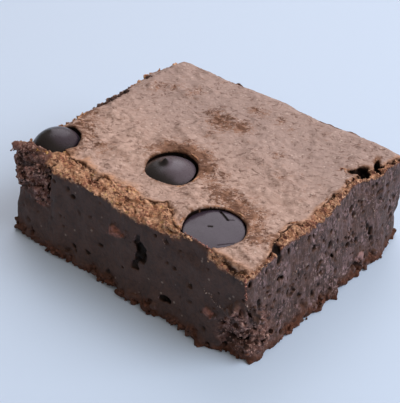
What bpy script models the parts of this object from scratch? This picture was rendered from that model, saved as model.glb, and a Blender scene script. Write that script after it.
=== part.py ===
"""Chocolate brownie: one cut block of crumb with three baked-in chocolate chips.

Frame: metres, +Z up, origin under the middle of the bounding box.  +X runs along the long
cut face, -Y faces that long cut face, +X ends at the short cut face.
"""
import math

import bmesh
import bpy
from mathutils import Euler, Matrix, Vector

MM = 0.001

# --- driving dimensions of the block ---------------------------------------------------
HALF_LENGTH = 28.75 * MM        # half the block along X at mid height
HALF_WIDTH = 23.65 * MM         # half the block along Y at mid height
CRUST_HEIGHT = 19.35 * MM       # mean height of the crust
CUT_LINE = 18.0 * MM            # height of the arris between crust rim and cut faces
GAP = 0.3 * MM                  # clearance between a chip and its pocket

# how far each wall leans out at its foot and in at the cut line
FRONT_FOOT, FRONT_LEAN = 1.1 * MM, 2.25 * MM
RIGHT_FOOT, RIGHT_LEAN = 1.0 * MM, 2.1 * MM
BACK_FOOT, BACK_LEAN = 0.85 * MM, 0.6 * MM
LEFT_FOOT, LEFT_LEAN = 0.85 * MM, 0.9 * MM

# corner radii, at the top and at the foot
NEAR_CORNER_TOP, NEAR_CORNER_FOOT = 0.5 * MM, 2.6 * MM
LEFT_CORNER = 1.2 * MM
BACK_LEFT_CORNER = 7.0 * MM
BACK_RIGHT_CORNER_TOP, BACK_RIGHT_CORNER_FOOT = 1.2 * MM, 3.6 * MM

# lattice of the block's faces
LENGTH_CELLS, WIDTH_CELLS, HEIGHT_CELLS = 34, 28, 9
EDGE_CROWDING = 0.72            # 0 spaces the lines evenly, 1 crowds them at the edges

BALL_SUBDIVISIONS = 2
CHIP_SEGMENTS = 32

# proportions of a chip to its widest radius, and the opening above its pocket
FOOT_RATIO, WAIST_RATIO, NUB_RATIO = 0.74, 0.93, 0.16
DOME_ROWS = 7
THROAT, THROAT_FLARE = 3.5 * MM, 0.3 * MM


def smooth_step(low, high, value):
    """0 below low, 1 above high, and a smooth rise between; low may be above high."""
    t = min(1.0, max(0.0, (value - low) / (high - low)))
    return t * t * (3.0 - 2.0 * t)


def hump(x, y, cx, cy, radius):
    """A round hump of height 1 at (cx, cy) that fades out at about twice the radius."""
    return math.exp(-((x - cx) ** 2 + (y - cy) ** 2) / radius ** 2)


def wave(value, length, phase):
    """A sine wave of the given wavelength."""
    return math.sin(2.0 * math.pi * value / length + phase)


# --- the block's form --------------------------------------------------------------------
def front_swell(x, z):
    """How far the long cut face stands in front of the nominal box."""
    ragged = 1.0 - smooth_step(0.0, 7.0 * MM, z)
    swell = FRONT_FOOT - FRONT_LEAN * z / CUT_LINE
    swell += 0.22 * MM * wave(x, 21.0 * MM, 0.6) + 0.12 * MM * wave(x, 9.0 * MM, 1.9)
    swell += ragged * (0.25 * MM * wave(x, 6.3 * MM, 0.4) + 0.2 * MM)
    broken_end = smooth_step(-18.0 * MM, -20.5 * MM, x) * smooth_step(6.0 * MM, 10.0 * MM, z)
    swell -= 0.7 * MM * broken_end
    swell -= 1.1 * MM * hump(x, 0.0, 15.6 * MM, 0.0, 3.4 * MM) * smooth_step(15.5 * MM, 18.6 * MM, z)
    near_end = smooth_step(22.0 * MM, 25.5 * MM, x)
    crumbled_away = near_end * (1.0 - smooth_step(4.0 * MM, 11.0 * MM, z))
    return swell - 0.4 * MM * near_end - 1.7 * MM * crumbled_away


def right_swell(y, z):
    """How far the short cut face stands outside the nominal box."""
    ragged = 1.0 - smooth_step(0.0, 6.0 * MM, z)
    far_end = smooth_step(13.0 * MM, 22.0 * MM, y)
    swell = RIGHT_FOOT - RIGHT_LEAN * z / CUT_LINE
    swell += 0.18 * MM * wave(y, 17.0 * MM, 2.2) + 0.1 * MM * wave(y, 7.5 * MM, 0.3)
    swell += ragged * (0.22 * MM * wave(y, 5.6 * MM, 1.1) + 0.15 * MM)
    swell -= 1.0 * MM * smooth_step(8.0 * MM, 18.0 * MM, z) * hump(y, 0.0, 9.5 * MM, 0.0, 4.0 * MM)
    return swell + far_end * (1.7 * MM * z / CUT_LINE - 0.9 * MM)


def back_swell(x, z):
    """How far the back face stands outside the nominal box."""
    swell = BACK_FOOT - BACK_LEAN * z / CUT_LINE
    return swell + 0.25 * MM * wave(x, 14.5 * MM, 0.9) + 0.15 * MM * wave(x, 6.1 * MM, 2.7)


def left_swell(y, z):
    """How far the left face stands outside the nominal box."""
    swell = LEFT_FOOT - LEFT_LEAN * z / CUT_LINE
    swell += 0.3 * MM * wave(y, 16.0 * MM, 1.3) + 0.15 * MM * wave(y, 6.7 * MM, 0.2)
    torn_end = smooth_step(-17.0 * MM, -21.0 * MM, y)
    return swell + torn_end * (0.3 * MM + 1.9 * MM * z / CUT_LINE)


def corner_radius(x, y, z):
    """The plan radius of the nearest vertical corner at height z."""
    low_down = 1.0 - smooth_step(2.0 * MM, 11.0 * MM, z)
    if y < 0.0 and x > 0.0:
        return NEAR_CORNER_TOP + (NEAR_CORNER_FOOT - NEAR_CORNER_TOP) * low_down
    if x > 0.0:
        return BACK_RIGHT_CORNER_TOP + (BACK_RIGHT_CORNER_FOOT - BACK_RIGHT_CORNER_TOP) * low_down
    return LEFT_CORNER if y < 0.0 else BACK_LEFT_CORNER


def round_corner(x, y, radius):
    """Move a point of the nominal box's plan so that the plan's corner becomes an arc."""
    over_x = abs(x) - (HALF_LENGTH - radius)
    over_y = abs(y) - (HALF_WIDTH - radius)
    if over_x <= 0.0 or over_y <= 0.0:
        return x, y
    shrink = max(over_x, over_y) / math.hypot(over_x, over_y)
    new_x = HALF_LENGTH - radius + over_x * shrink
    new_y = HALF_WIDTH - radius + over_y * shrink
    return math.copysign(new_x, x), math.copysign(new_y, y)


def lean_walls(x, y, z):
    """Push a point of the nominal plan out to the leaning, wavy walls."""
    toward_x = (x / HALF_LENGTH) ** 2
    toward_y = (y / HALF_WIDTH) ** 2
    out_x = right_swell(y, z) if x > 0.0 else -left_swell(y, z)
    out_y = back_swell(x, z) if y > 0.0 else -front_swell(x, z)
    return x + out_x * toward_x, y + out_y * toward_y


def crust_height(x, y):
    """Height of the crust: a gently uneven plateau that rolls down to the rims."""
    z = CRUST_HEIGHT
    z += 0.22 * MM * wave(x + 0.4 * y, 27.0 * MM, 0.5) + 0.16 * MM * wave(y - 0.3 * x, 19.0 * MM, 1.7)
    z += 0.5 * MM * hump(x, y, -2.5 * MM, -2.5 * MM, 4.5 * MM)
    z += 0.35 * MM * hump(x, y, 20.0 * MM, -9.5 * MM, 4.5 * MM)
    z -= 0.25 * MM * hump(x, y, 16.0 * MM, -17.0 * MM, 7.0 * MM)
    z -= 0.4 * MM * hump(x, y, -1.3 * MM, 16.4 * MM, 3.0 * MM)
    z += 0.75 * MM * hump(x, y, -25.5 * MM, -21.0 * MM, 3.2 * MM)
    rim_start = -18.4 * MM - 2.6 * MM * smooth_step(4.0 * MM, 12.0 * MM, x)
    rim_start -= 2.0 * MM * smooth_step(-18.0 * MM, -22.0 * MM, x)
    z -= 1.3 * MM * smooth_step(rim_start, -23.0 * MM, y)
    z -= 1.0 * MM * smooth_step(25.4 * MM, 28.2 * MM, x) * (1.0 - smooth_step(12.0 * MM, 22.0 * MM, y))
    z -= 0.8 * MM * smooth_step(22.0 * MM, 24.0 * MM, y)
    torn_end = smooth_step(-11.0 * MM, -16.0 * MM, y)
    z -= 0.9 * MM * smooth_step(-26.0 * MM, -28.6 * MM, x) * (1.0 - torn_end)
    z -= 1.1 * MM * smooth_step(-27.0 * MM, -30.0 * MM, x) * torn_end
    return z


# --- mesh helpers ------------------------------------------------------------------------
def add_object(name, bm):
    """Turn a bmesh into a named object in the scene."""
    mesh = bpy.data.meshes.new(name)
    bm.to_mesh(mesh)
    bm.free()
    obj = bpy.data.objects.new(name, mesh)
    bpy.context.scene.collection.objects.link(obj)
    return obj


def add_material(obj, name, color, roughness):
    """Give an object its own Principled material."""
    material = bpy.data.materials.new(name)
    material.use_nodes = True
    shader = material.node_tree.nodes["Principled BSDF"]
    shader.inputs["Base Color"].default_value = (*color, 1.0)
    shader.inputs["Roughness"].default_value = roughness
    shader.inputs["Metallic"].default_value = 0.0
    obj.data.materials.append(material)


def crowd(t):
    """Shift a lattice line at t in -1..1 towards the nearer edge."""
    eased = math.sin(0.5 * math.pi * t)
    return t + EDGE_CROWDING * (eased - t)


def box_lattice():
    """A closed box from -1 to 1 whose six faces are grids that share their edges."""
    bm = bmesh.new()
    quarter = 0.5 * math.pi
    faces = (
        (LENGTH_CELLS, WIDTH_CELLS, Euler((0.0, 0.0, 0.0))),
        (LENGTH_CELLS, WIDTH_CELLS, Euler((math.pi, 0.0, 0.0))),
        (LENGTH_CELLS, HEIGHT_CELLS, Euler((quarter, 0.0, 0.0))),
        (LENGTH_CELLS, HEIGHT_CELLS, Euler((-quarter, 0.0, 0.0))),
        (HEIGHT_CELLS, WIDTH_CELLS, Euler((0.0, quarter, 0.0))),
        (HEIGHT_CELLS, WIDTH_CELLS, Euler((0.0, -quarter, 0.0))),
    )
    for across, along, turn in faces:
        matrix = turn.to_matrix().to_4x4() @ Matrix.Translation((0.0, 0.0, 1.0))
        bmesh.ops.create_grid(bm, x_segments=across, y_segments=along, size=1.0, matrix=matrix)
    bmesh.ops.remove_doubles(bm, verts=bm.verts, dist=1e-5)
    bmesh.ops.recalc_face_normals(bm, faces=bm.faces)
    return bm


def make_block():
    """The uneven block of crumb, without its pockets."""
    bm = box_lattice()
    for vert in bm.verts:
        level = 0.5 * (crowd(vert.co.z) + 1.0)
        x = HALF_LENGTH * crowd(vert.co.x)
        y = HALF_WIDTH * crowd(vert.co.y)
        nominal_z = level * CRUST_HEIGHT
        x, y = round_corner(x, y, corner_radius(x, y, nominal_z))
        x, y = lean_walls(x, y, nominal_z)
        vert.co = Vector((x, y, level * crust_height(x, y)))
    return add_object("crumb_block", bm)


def turned_solid(profile, segments):
    """Spin a profile of (radius, height) pairs, first and last on the axis, about Z."""
    bm = bmesh.new()
    verts = [bm.verts.new((radius, 0.0, height)) for radius, height in profile]
    edges = [bm.edges.new(pair) for pair in zip(verts, verts[1:])]
    bmesh.ops.spin(bm, geom=verts + edges, axis=(0.0, 0.0, 1.0), cent=(0.0, 0.0, 0.0),
                   angle=2.0 * math.pi, steps=segments, use_merge=True)
    bmesh.ops.remove_doubles(bm, verts=bm.verts, dist=1e-6)
    bmesh.ops.recalc_face_normals(bm, faces=bm.faces)
    return bm


def sunk_profile(radius, depth, clearance=0.0):
    """Half section of what sits below a chip's widest ring: flat foot and bulged flank."""
    foot, waist = FOOT_RATIO * radius + clearance, WAIST_RATIO * radius + clearance
    low = -depth - clearance
    return [(0.0, low), (foot, low), (waist, -0.5 * depth), (radius + clearance, 0.0)]


def chip_profile(radius, dome, nub, depth):
    """Half section of a chip: its sunk part, a dome and a small nub on top."""
    points = sunk_profile(radius, depth)
    for row in range(1, DOME_ROWS):
        angle = 0.5 * math.pi * row / DOME_ROWS
        across = radius * math.cos(angle)
        height = dome * math.sin(angle) + nub * math.exp(-(across / (NUB_RATIO * radius)) ** 2)
        points.append((across, height))
    points.append((0.0, dome + nub))
    return points


def pocket_profile(radius, depth):
    """Half section of a chip's pocket: the sunk part with the gap, and a throat above it."""
    points = sunk_profile(radius, depth, GAP)
    points.append((radius + GAP + THROAT_FLARE, THROAT))
    points.append((0.0, THROAT))
    return points


# --- chips: seat of the widest ring, lean, and form ----------------------------------------
CHIPS = {
    "chip_left": {
        "seat": (-25.2, -16.0, 18.15), "lean_deg": (3.0, -8.0), "radius": 4.7,
        "dome": 2.9, "nub": 0.15, "depth": 2.6, "color": (0.045, 0.030, 0.030), "roughness": 0.42,
    },
    "chip_centre": {
        "seat": (-1.95, -9.05, 18.55), "lean_deg": (1.0, -2.0), "radius": 5.1,
        "dome": 2.3, "nub": 0.8, "depth": 2.6, "color": (0.045, 0.030, 0.030), "roughness": 0.4,
    },
    "chip_front": {
        "seat": (15.7, -16.75, 18.65), "lean_deg": (0.5, 0.5), "radius": 5.55,
        "dome": 0.35, "nub": 0.0, "depth": 2.2, "color": (0.060, 0.045, 0.050), "roughness": 0.3,
    },
}

# the knife that cut the block also took the edge of the chip beside the long cut face
KNIFE = {"chip": "chip_front", "centre": (15.7, -26.3, 18.0), "half_sizes": (8.0, 5.0, 6.0)}

# --- larger holes and breaks in the crumb: centre and half sizes of a rounded dent ----------
DENTS = {
    "tunnel": ((3.7, -24.4, 11.6), (1.15, 2.6, 3.4)),
    "bubble": ((10.7, -25.2, 4.4), (1.15, 2.2, 1.1)),
    "end_crack": ((-18.8, -23.6, 13.4), (0.8, 2.6, 3.6)),
    "rim_notch": ((27.9, -13.4, 18.9), (1.9, 0.6, 1.3)),
    "rim_hole": ((25.2, 12.5, 19.4), (1.3, 1.7, 1.3)),
    "rim_slit": ((27.1, 15.7, 19.2), (1.7, 0.5, 1.3)),
    "corner_crack": ((28.9, -22.6, 9.6), (1.6, 1.4, 1.7)),
}


def pose(obj, seat, lean_deg):
    """Place a turned solid by its seat point and its lean about X and Y."""
    obj.location = Vector(seat) * MM
    obj.rotation_euler = Euler((math.radians(lean_deg[0]), math.radians(lean_deg[1]), 0.0))


def cut(block, cutter):
    """Subtract a cutter from the block and leave the cutter as a hidden guide."""
    cutter.hide_render = True
    cutter.display_type = "WIRE"
    modifier = block.modifiers.new(cutter.name, "BOOLEAN")
    modifier.operation = "DIFFERENCE"
    modifier.solver = "EXACT"
    modifier.object = cutter


def make_chip(name, form):
    """A chocolate chip at its seat."""
    sizes = [form[key] * MM for key in ("radius", "dome", "nub", "depth")]
    chip = add_object(name, turned_solid(chip_profile(*sizes), CHIP_SEGMENTS))
    chip.data.shade_smooth()
    pose(chip, form["seat"], form["lean_deg"])
    add_material(chip, name, form["color"], form["roughness"])
    return chip


def make_pocket(name, form):
    """The space that a chip takes in the crumb, with the gap round it and open above."""
    bm = turned_solid(pocket_profile(form["radius"] * MM, form["depth"] * MM), CHIP_SEGMENTS)
    pocket = add_object(name + "_pocket", bm)
    pose(pocket, form["seat"], form["lean_deg"])
    return pocket


def make_knife(name, centre, half_sizes):
    """A box cutter."""
    bm = bmesh.new()
    bmesh.ops.create_cube(bm, size=2.0)
    bmesh.ops.scale(bm, verts=bm.verts, vec=Vector(half_sizes) * MM)
    knife = add_object(name, bm)
    knife.location = Vector(centre) * MM
    return knife


def make_dent(name, centre, half_sizes):
    """A rounded dent cutter."""
    bm = bmesh.new()
    bmesh.ops.create_icosphere(bm, subdivisions=BALL_SUBDIVISIONS, radius=1.0)
    bmesh.ops.scale(bm, verts=bm.verts, vec=Vector(half_sizes) * MM)
    dent = add_object(name, bm)
    dent.location = Vector(centre) * MM
    return dent


def centre_on_origin(block):
    """Slide everything so that the block's box is centred over the origin."""
    for axis in range(2):
        values = [vert.co[axis] for vert in block.data.vertices]
        shift = -0.5 * (min(values) + max(values))
        for obj in bpy.data.objects:
            obj.location[axis] += shift


def main():
    """Build the block, its pockets and dents, and the three chips."""
    for obj in list(bpy.data.objects):
        bpy.data.objects.remove(obj, do_unlink=True)
    block = make_block()
    add_material(block, "crumb_block", (0.060, 0.030, 0.022), 0.75)
    for name, form in CHIPS.items():
        chip = make_chip(name, form)
        cut(block, make_pocket(name, form))
        if name == KNIFE["chip"]:
            cut(chip, make_knife("knife", KNIFE["centre"], KNIFE["half_sizes"]))
    for name, (centre, half_sizes) in DENTS.items():
        cut(block, make_dent(name, centre, half_sizes))
    centre_on_origin(block)


main()
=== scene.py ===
"""A chocolate brownie: a cut block of crumb, its papery crust and three chocolate chips.

The builders work in millimetres, in the block's own coordinates: +X along the long cut face,
-Y out of that face, +Z up, zero on the surface that the block stands on.  `Place` turns those
into the frame's metres.  Shapes, then finishes, then the studio, then the order of work.
"""
import itertools
import logging
import math
from dataclasses import dataclass, field
from enum import Enum
from typing import Any, Sequence

import bpy
import numpy as np
from mathutils import Euler, Matrix, Vector


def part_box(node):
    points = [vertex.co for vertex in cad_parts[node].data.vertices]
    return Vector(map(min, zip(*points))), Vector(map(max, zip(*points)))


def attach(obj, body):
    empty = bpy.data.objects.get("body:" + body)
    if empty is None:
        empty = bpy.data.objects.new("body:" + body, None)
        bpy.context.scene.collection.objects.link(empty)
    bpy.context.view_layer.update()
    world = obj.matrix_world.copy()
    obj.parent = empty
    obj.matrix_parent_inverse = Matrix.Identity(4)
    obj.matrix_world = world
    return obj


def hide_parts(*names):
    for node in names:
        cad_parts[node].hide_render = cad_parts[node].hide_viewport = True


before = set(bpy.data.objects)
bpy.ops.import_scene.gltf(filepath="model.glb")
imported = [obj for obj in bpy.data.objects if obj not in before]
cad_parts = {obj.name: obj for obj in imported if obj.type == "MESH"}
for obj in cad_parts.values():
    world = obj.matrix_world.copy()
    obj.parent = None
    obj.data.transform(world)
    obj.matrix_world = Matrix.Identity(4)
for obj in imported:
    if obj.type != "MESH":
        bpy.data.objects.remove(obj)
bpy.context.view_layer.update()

BODY = "root"
MM = 0.001
TRIANGLE_BUDGET = 190_000

Array = np.ndarray
Colour = tuple[float, float, float]
Point = tuple[float, float, float]

log = logging.getLogger("brownie")


class Slot(Enum):
    """The record's material slots."""

    CRUMB = "crumb"
    CRUST = "crust"
    CHIP = "chip_chocolate"


class Mark(Enum):
    """Values that the builders store on a mesh's points for the finishes to read."""

    RIM = "rim"
    FOOT = "foot"
    TORN = "torn"
    CHUNK = "chunk"
    # painted shade: how dark the pores, holes, cracks, chip pockets and chip grooves are coloured
    HOLLOW_SHADE = "hollow"
    TOAST = "toast"
    EDGE = "edge"
    TINT = "tint"


# --- shaping functions -------------------------------------------------------------------
def smooth_step(low: float | Array, high: float | Array, value: Any) -> Array:
    """A smooth rise from 0 at low to 1 at high.

    Args:
        low: where the rise starts; it may lie above high, which makes a fall.
        high: where the rise ends.
        value: a number or an array of numbers.
    Returns:
        Numbers from 0 to 1.
    """
    t = np.clip((value - low) / (high - low), 0.0, 1.0)
    return t * t * (3.0 - 2.0 * t)


def hump(x: Any, y: Any, cx: float, cy: float, radius: float) -> Array:
    """A round hump of height 1.

    Args:
        x: places along the first axis.
        y: places along the second axis.
        cx: the hump's middle on the first axis.
        cy: the hump's middle on the second axis.
        radius: where it has fallen to about a third.
    Returns:
        Heights from 0 to 1.
    """
    return np.exp(-((x - cx) ** 2 + (y - cy) ** 2) / radius**2)


def wave(value: Any, length: float, phase: float) -> Array:
    """A sine wave of the given length."""
    return np.sin(2.0 * math.pi * value / length + phase)


def soft_max(a: Array, b: Array, blend: float) -> Array:
    """The larger of two fields, with the crease between them rounded.

    Args:
        a: the first field.
        b: the second field.
        blend: the width of the rounding.
    Returns:
        The joined field.
    """
    share = np.clip(0.5 + 0.5 * (a - b) / blend, 0.0, 1.0)
    return b + (a - b) * share + blend * share * (1.0 - share)


def soft_min(a: Array, b: Array, blend: float) -> Array:
    """The smaller of two fields, with the crease between them rounded."""
    return -soft_max(-a, -b, blend)


def along_polyline(knots: Sequence[tuple[float, float]], value: Any) -> Array:
    """Read a broken line.

    Args:
        knots: (place, height) pairs in rising order of place.
        value: the places asked for.
    Returns:
        The heights there.
    """
    places, heights = zip(*knots)
    return np.interp(value, places, heights)


def spline_weights(t: Array) -> Array:
    """Cubic spline weights of the four lattice values round a place.

    Args:
        t: how far each place is past its lattice line, 0 to 1.
    Returns:
        Four rows of weights that add up to one.
    """
    return np.stack([(1 - t) ** 3, 3 * t**3 - 6 * t**2 + 4, -3 * t**3 + 3 * t**2 + 3 * t + 1, t**3]) / 6.0


@dataclass(frozen=True)
class LatticeNoise:
    """Soft noise of about unit spread: random numbers on a lattice, joined by cubic splines."""

    seed: int
    cell: tuple[float, ...]
    period: int = 96
    spline_spread: float = 0.692

    def values(self) -> Array:
        """The lattice's random numbers, scaled so that the joined noise has unit spread."""
        shape = (self.period,) * len(self.cell)
        numbers = np.random.default_rng(self.seed).standard_normal(shape)
        return (numbers / self.spline_spread ** len(self.cell)).astype(np.float32)

    def on_grid(self, *axes: Array) -> Array:
        """Noise on a regular grid.

        Args:
            axes: the grid's places along each axis.
        Returns:
            One number for each point of the grid.
        """
        result = self.values()
        for places, cell in zip(axes, self.cell):
            base = np.floor(places / cell).astype(int)
            weights = spline_weights(places / cell - base)
            first = base.min()
            lines = np.arange(first, base.max() + 4)
            table = np.zeros((len(places), len(lines)), np.float32)
            for step in range(4):
                table[np.arange(len(places)), base - first + step] = weights[step]
            nearby = np.take(result, lines % self.period, axis=0)
            result = np.tensordot(nearby, table, axes=(0, 1))
        return result

    def at(self, *places: Array) -> Array:
        """Noise at loose points.

        Args:
            places: the points' coordinates, one array for each axis.
        Returns:
            One number for each point.
        """
        numbers = self.values()
        bases, weights = [], []
        for place, cell in zip(places, self.cell):
            base = np.floor(place / cell).astype(int)
            bases.append(base)
            weights.append(spline_weights(place / cell - base))
        total = np.zeros(np.shape(places[0]))
        for steps in itertools.product(range(4), repeat=len(places)):
            share = np.prod([w[s] for w, s in zip(weights, steps)], axis=0)
            total += share * numbers[tuple((b + s) % self.period for b, s in zip(bases, steps))]
        return total


# --- the block's form ---------------------------------------------------------------------
@dataclass(frozen=True)
class BlockForm:
    """The block's walls and crust, the same rules as its solid follows."""

    half_length: float = 28.75
    half_width: float = 23.65
    crust_height: float = 19.35
    cut_line: float = 18.0
    front_foot: float = 1.1
    front_lean: float = 2.25
    right_foot: float = 1.0
    right_lean: float = 2.1
    back_foot: float = 0.85
    back_lean: float = 0.6
    left_foot: float = 0.85
    left_lean: float = 0.9
    near_corner_top: float = 0.5
    near_corner_foot: float = 2.6
    left_corner: float = 1.2
    back_left_corner: float = 7.0
    back_right_corner_top: float = 1.2
    back_right_corner_foot: float = 3.6

    def top(self, x: Any, y: Any) -> Array:
        """Height of the crust: a gently uneven plateau that rolls down to the rims.

        Args:
            x: places along the block.
            y: places across the block.
        Returns:
            The heights there.
        """
        z = self.crust_height + 0.22 * wave(x + 0.4 * y, 27.0, 0.5) + 0.16 * wave(y - 0.3 * x, 19.0, 1.7)
        z = z + 0.5 * hump(x, y, -2.5, -2.5, 4.5) + 0.35 * hump(x, y, 20.0, -9.5, 4.5)
        z = z - 0.25 * hump(x, y, 16.0, -17.0, 7.0) - 0.4 * hump(x, y, -1.3, 16.4, 3.0)
        z = z + 0.75 * hump(x, y, -25.5, -21.0, 3.2)
        rim_start = -18.4 - 2.6 * smooth_step(4.0, 12.0, x) - 2.0 * smooth_step(-18.0, -22.0, x)
        z = z - 1.3 * smooth_step(rim_start, -23.0, y) - 0.8 * smooth_step(22.0, 24.0, y)
        z = z - 1.0 * smooth_step(25.4, 28.2, x) * (1.0 - smooth_step(12.0, 22.0, y))
        torn_end = smooth_step(-11.0, -16.0, y)
        z = z - 0.9 * smooth_step(-26.0, -28.6, x) * (1.0 - torn_end)
        return z - 1.1 * smooth_step(-27.0, -30.0, x) * torn_end

    def front_swell(self, x: Array, z: Array) -> Array:
        """How far the long cut face stands in front of the nominal box."""
        ragged = 1.0 - smooth_step(0.0, 7.0, z)
        swell = self.front_foot - self.front_lean * z / self.cut_line
        swell = swell + 0.22 * wave(x, 21.0, 0.6) + 0.12 * wave(x, 9.0, 1.9)
        swell = swell + ragged * (0.25 * wave(x, 6.3, 0.4) + 0.2)
        swell = swell - 0.7 * smooth_step(-18.0, -20.5, x) * smooth_step(6.0, 10.0, z)
        swell = swell - 1.1 * hump(x, 0.0, 15.6, 0.0, 3.4) * smooth_step(15.5, 18.6, z)
        near_end = smooth_step(22.0, 25.5, x)
        return swell - 0.4 * near_end - 1.7 * near_end * (1.0 - smooth_step(4.0, 11.0, z))

    def right_swell(self, y: Array, z: Array) -> Array:
        """How far the short cut face stands outside the nominal box."""
        ragged = 1.0 - smooth_step(0.0, 6.0, z)
        swell = self.right_foot - self.right_lean * z / self.cut_line
        swell = swell + 0.18 * wave(y, 17.0, 2.2) + 0.1 * wave(y, 7.5, 0.3)
        swell = swell + ragged * (0.22 * wave(y, 5.6, 1.1) + 0.15)
        swell = swell - smooth_step(8.0, 18.0, z) * hump(y, 0.0, 9.5, 0.0, 4.0)
        return swell + smooth_step(13.0, 22.0, y) * (1.7 * z / self.cut_line - 0.9)

    def back_swell(self, x: Array, z: Array) -> Array:
        """How far the back face stands outside the nominal box."""
        swell = self.back_foot - self.back_lean * z / self.cut_line
        return swell + 0.25 * wave(x, 14.5, 0.9) + 0.15 * wave(x, 6.1, 2.7)

    def left_swell(self, y: Array, z: Array) -> Array:
        """How far the left face stands outside the nominal box."""
        swell = self.left_foot - self.left_lean * z / self.cut_line
        swell = swell + 0.3 * wave(y, 16.0, 1.3) + 0.15 * wave(y, 6.7, 0.2)
        return swell + smooth_step(-17.0, -21.0, y) * (0.3 + 1.9 * z / self.cut_line)

    def corner_radius(self, x: Array, y: Array, z: Array) -> Array:
        """The plan radius of the nearest vertical corner at height z."""
        low_down = 1.0 - smooth_step(2.0, 11.0, z)
        near = self.near_corner_top + (self.near_corner_foot - self.near_corner_top) * low_down
        far = self.back_right_corner_foot - self.back_right_corner_top
        right = np.where(y < 0.0, near, self.back_right_corner_top + far * low_down)
        left = np.where(y < 0.0, self.left_corner, self.back_left_corner)
        return np.where(x > 0.0, right, left)

    def wall_distance(self, x: Array, y: Array, z: Array) -> Array:
        """Distance outside the four leaning walls, negative inside.

        Args:
            x: places along the block, in a shape that broadcasts with the others.
            y: places across it.
            z: heights.
        Returns:
            The distances.
        """
        low, high = -self.half_width, self.half_width
        level_x = [np.clip(z, 0.0, None) * self.crust_height / self.top(x, edge) for edge in (low, high)]
        low, high = -self.half_length, self.half_length
        level_y = [np.clip(z, 0.0, None) * self.crust_height / self.top(edge, y) for edge in (low, high)]
        toward_x = np.clip(np.abs(x) / self.half_length, 0.0, 1.0) ** 2
        toward_y = np.clip(np.abs(y) / self.half_width, 0.0, 1.0) ** 2
        out_x = np.where(x > 0.0, self.right_swell(y, level_y[1]), self.left_swell(y, level_y[0]))
        out_y = np.where(y > 0.0, self.back_swell(x, level_x[1]), self.front_swell(x, level_x[0]))
        radius = self.corner_radius(x, y, z)
        over_x = np.abs(x) - out_x * toward_x - (self.half_length - radius)
        over_y = np.abs(y) - out_y * toward_y - (self.half_width - radius)
        outside = np.hypot(np.maximum(over_x, 0.0), np.maximum(over_y, 0.0))
        return outside + np.minimum(np.maximum(over_x, over_y), 0.0) - radius

    def on_wall(self, place: Sequence[float], proud: float) -> Array:
        """Move a place straight in or out to the nearest wall.

        Args:
            place: where it is.
            proud: how far outside the wall it ends up.
        Returns:
            The moved place.
        """
        x, y, z = (np.array([value]) for value in place)
        away = self.wall_distance(x, y, z)[0] - proud
        axis = 0 if self.half_length - abs(place[0]) < self.half_width - abs(place[1]) else 1
        moved = np.array(place, float)
        moved[axis] -= away * math.copysign(1.0, place[axis])
        return moved


@dataclass(frozen=True)
class Place:
    """Turns the builders' millimetres into the frame's metres."""

    shift: tuple[float, float]

    @classmethod
    def from_frame(cls, node: str, seat: Point) -> "Place":
        """Find the shift from one node whose seat is known in both.

        Args:
            node: the node's name.
            seat: its seat in the builders' millimetres.
        Returns:
            The place.
        """
        low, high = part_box(node)
        middle = [0.5 * (low[axis] + high[axis]) / MM for axis in range(2)]
        return cls((middle[0] - seat[0], middle[1] - seat[1]))

    def metres(self, points: Array) -> Array:
        """Points in metres in the frame."""
        return (np.asarray(points, float) + np.array([*self.shift, 0.0])) * MM

    def millimetres(self, points: Array) -> Array:
        """Points in the builders' millimetres."""
        return np.asarray(points, float) / MM - np.array([*self.shift, 0.0])


# --- mesh helpers --------------------------------------------------------------------------
def make_mesh_object(name: str, points: Array, faces: Array) -> bpy.types.Object:
    """Link a new mesh object.

    Args:
        name: the piece's name.
        points: its vertices in metres.
        faces: rows of vertex numbers.
    Returns:
        The object, shaded smooth.
    """
    mesh = bpy.data.meshes.new(name)
    mesh.from_pydata(np.asarray(points).tolist(), [], np.asarray(faces).tolist())
    mesh.shade_smooth()
    piece = bpy.data.objects.new(name, mesh)
    bpy.context.scene.collection.objects.link(piece)
    return piece


def bake_modifiers(piece: bpy.types.Object) -> None:
    """Turn a piece and its modifiers into one plain mesh."""
    graph = bpy.context.evaluated_depsgraph_get()
    old = piece.data
    plain = bpy.data.meshes.new_from_object(piece.evaluated_get(graph), depsgraph=graph)
    piece.modifiers.clear()
    piece.data = plain
    plain.name = piece.name
    bpy.data.meshes.remove(old)


def thin_out(piece: bpy.types.Object, budget: int = TRIANGLE_BUDGET) -> None:
    """Collapse the flattest faces until a piece keeps to its budget.

    Args:
        piece: the mesh object.
        budget: the most triangles that it may have.
    """
    triangles = sum(len(face.vertices) - 2 for face in piece.data.polygons)
    if triangles <= budget:
        return
    modifier = piece.modifiers.new("thin", "DECIMATE")
    modifier.ratio = budget / triangles
    bake_modifiers(piece)


def points_of(piece: bpy.types.Object) -> Array:
    """The vertices of a mesh object, as rows of metres."""
    places = np.empty(3 * len(piece.data.vertices))
    piece.data.vertices.foreach_get("co", places)
    return places.reshape(-1, 3)


def store_mark(piece: bpy.types.Object, mark: Mark, values: Array) -> None:
    """Store one number for each vertex under a mark's name."""
    layer = piece.data.attributes.new(mark.value, "FLOAT", "POINT")
    layer.data.foreach_set("value", np.asarray(values, np.float32))


def largest_shell(count: int, faces: Array) -> Array:
    """Which faces belong to the largest connected shell.

    Args:
        count: the number of vertices.
        faces: rows of vertex numbers.
    Returns:
        True for each face to keep.
    """
    label = np.arange(count)
    starts, ends = faces.ravel(), np.roll(faces, -1, axis=1).ravel()
    while True:
        lowest = np.minimum(label[starts], label[ends])
        fresh = label.copy()
        np.minimum.at(fresh, label[starts], lowest)
        np.minimum.at(fresh, label[ends], lowest)
        fresh = fresh[fresh][fresh]
        if np.array_equal(fresh, label):
            break
        label = fresh
    owner = label[faces[:, 0]]
    return owner == np.bincount(owner).argmax()


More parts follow.
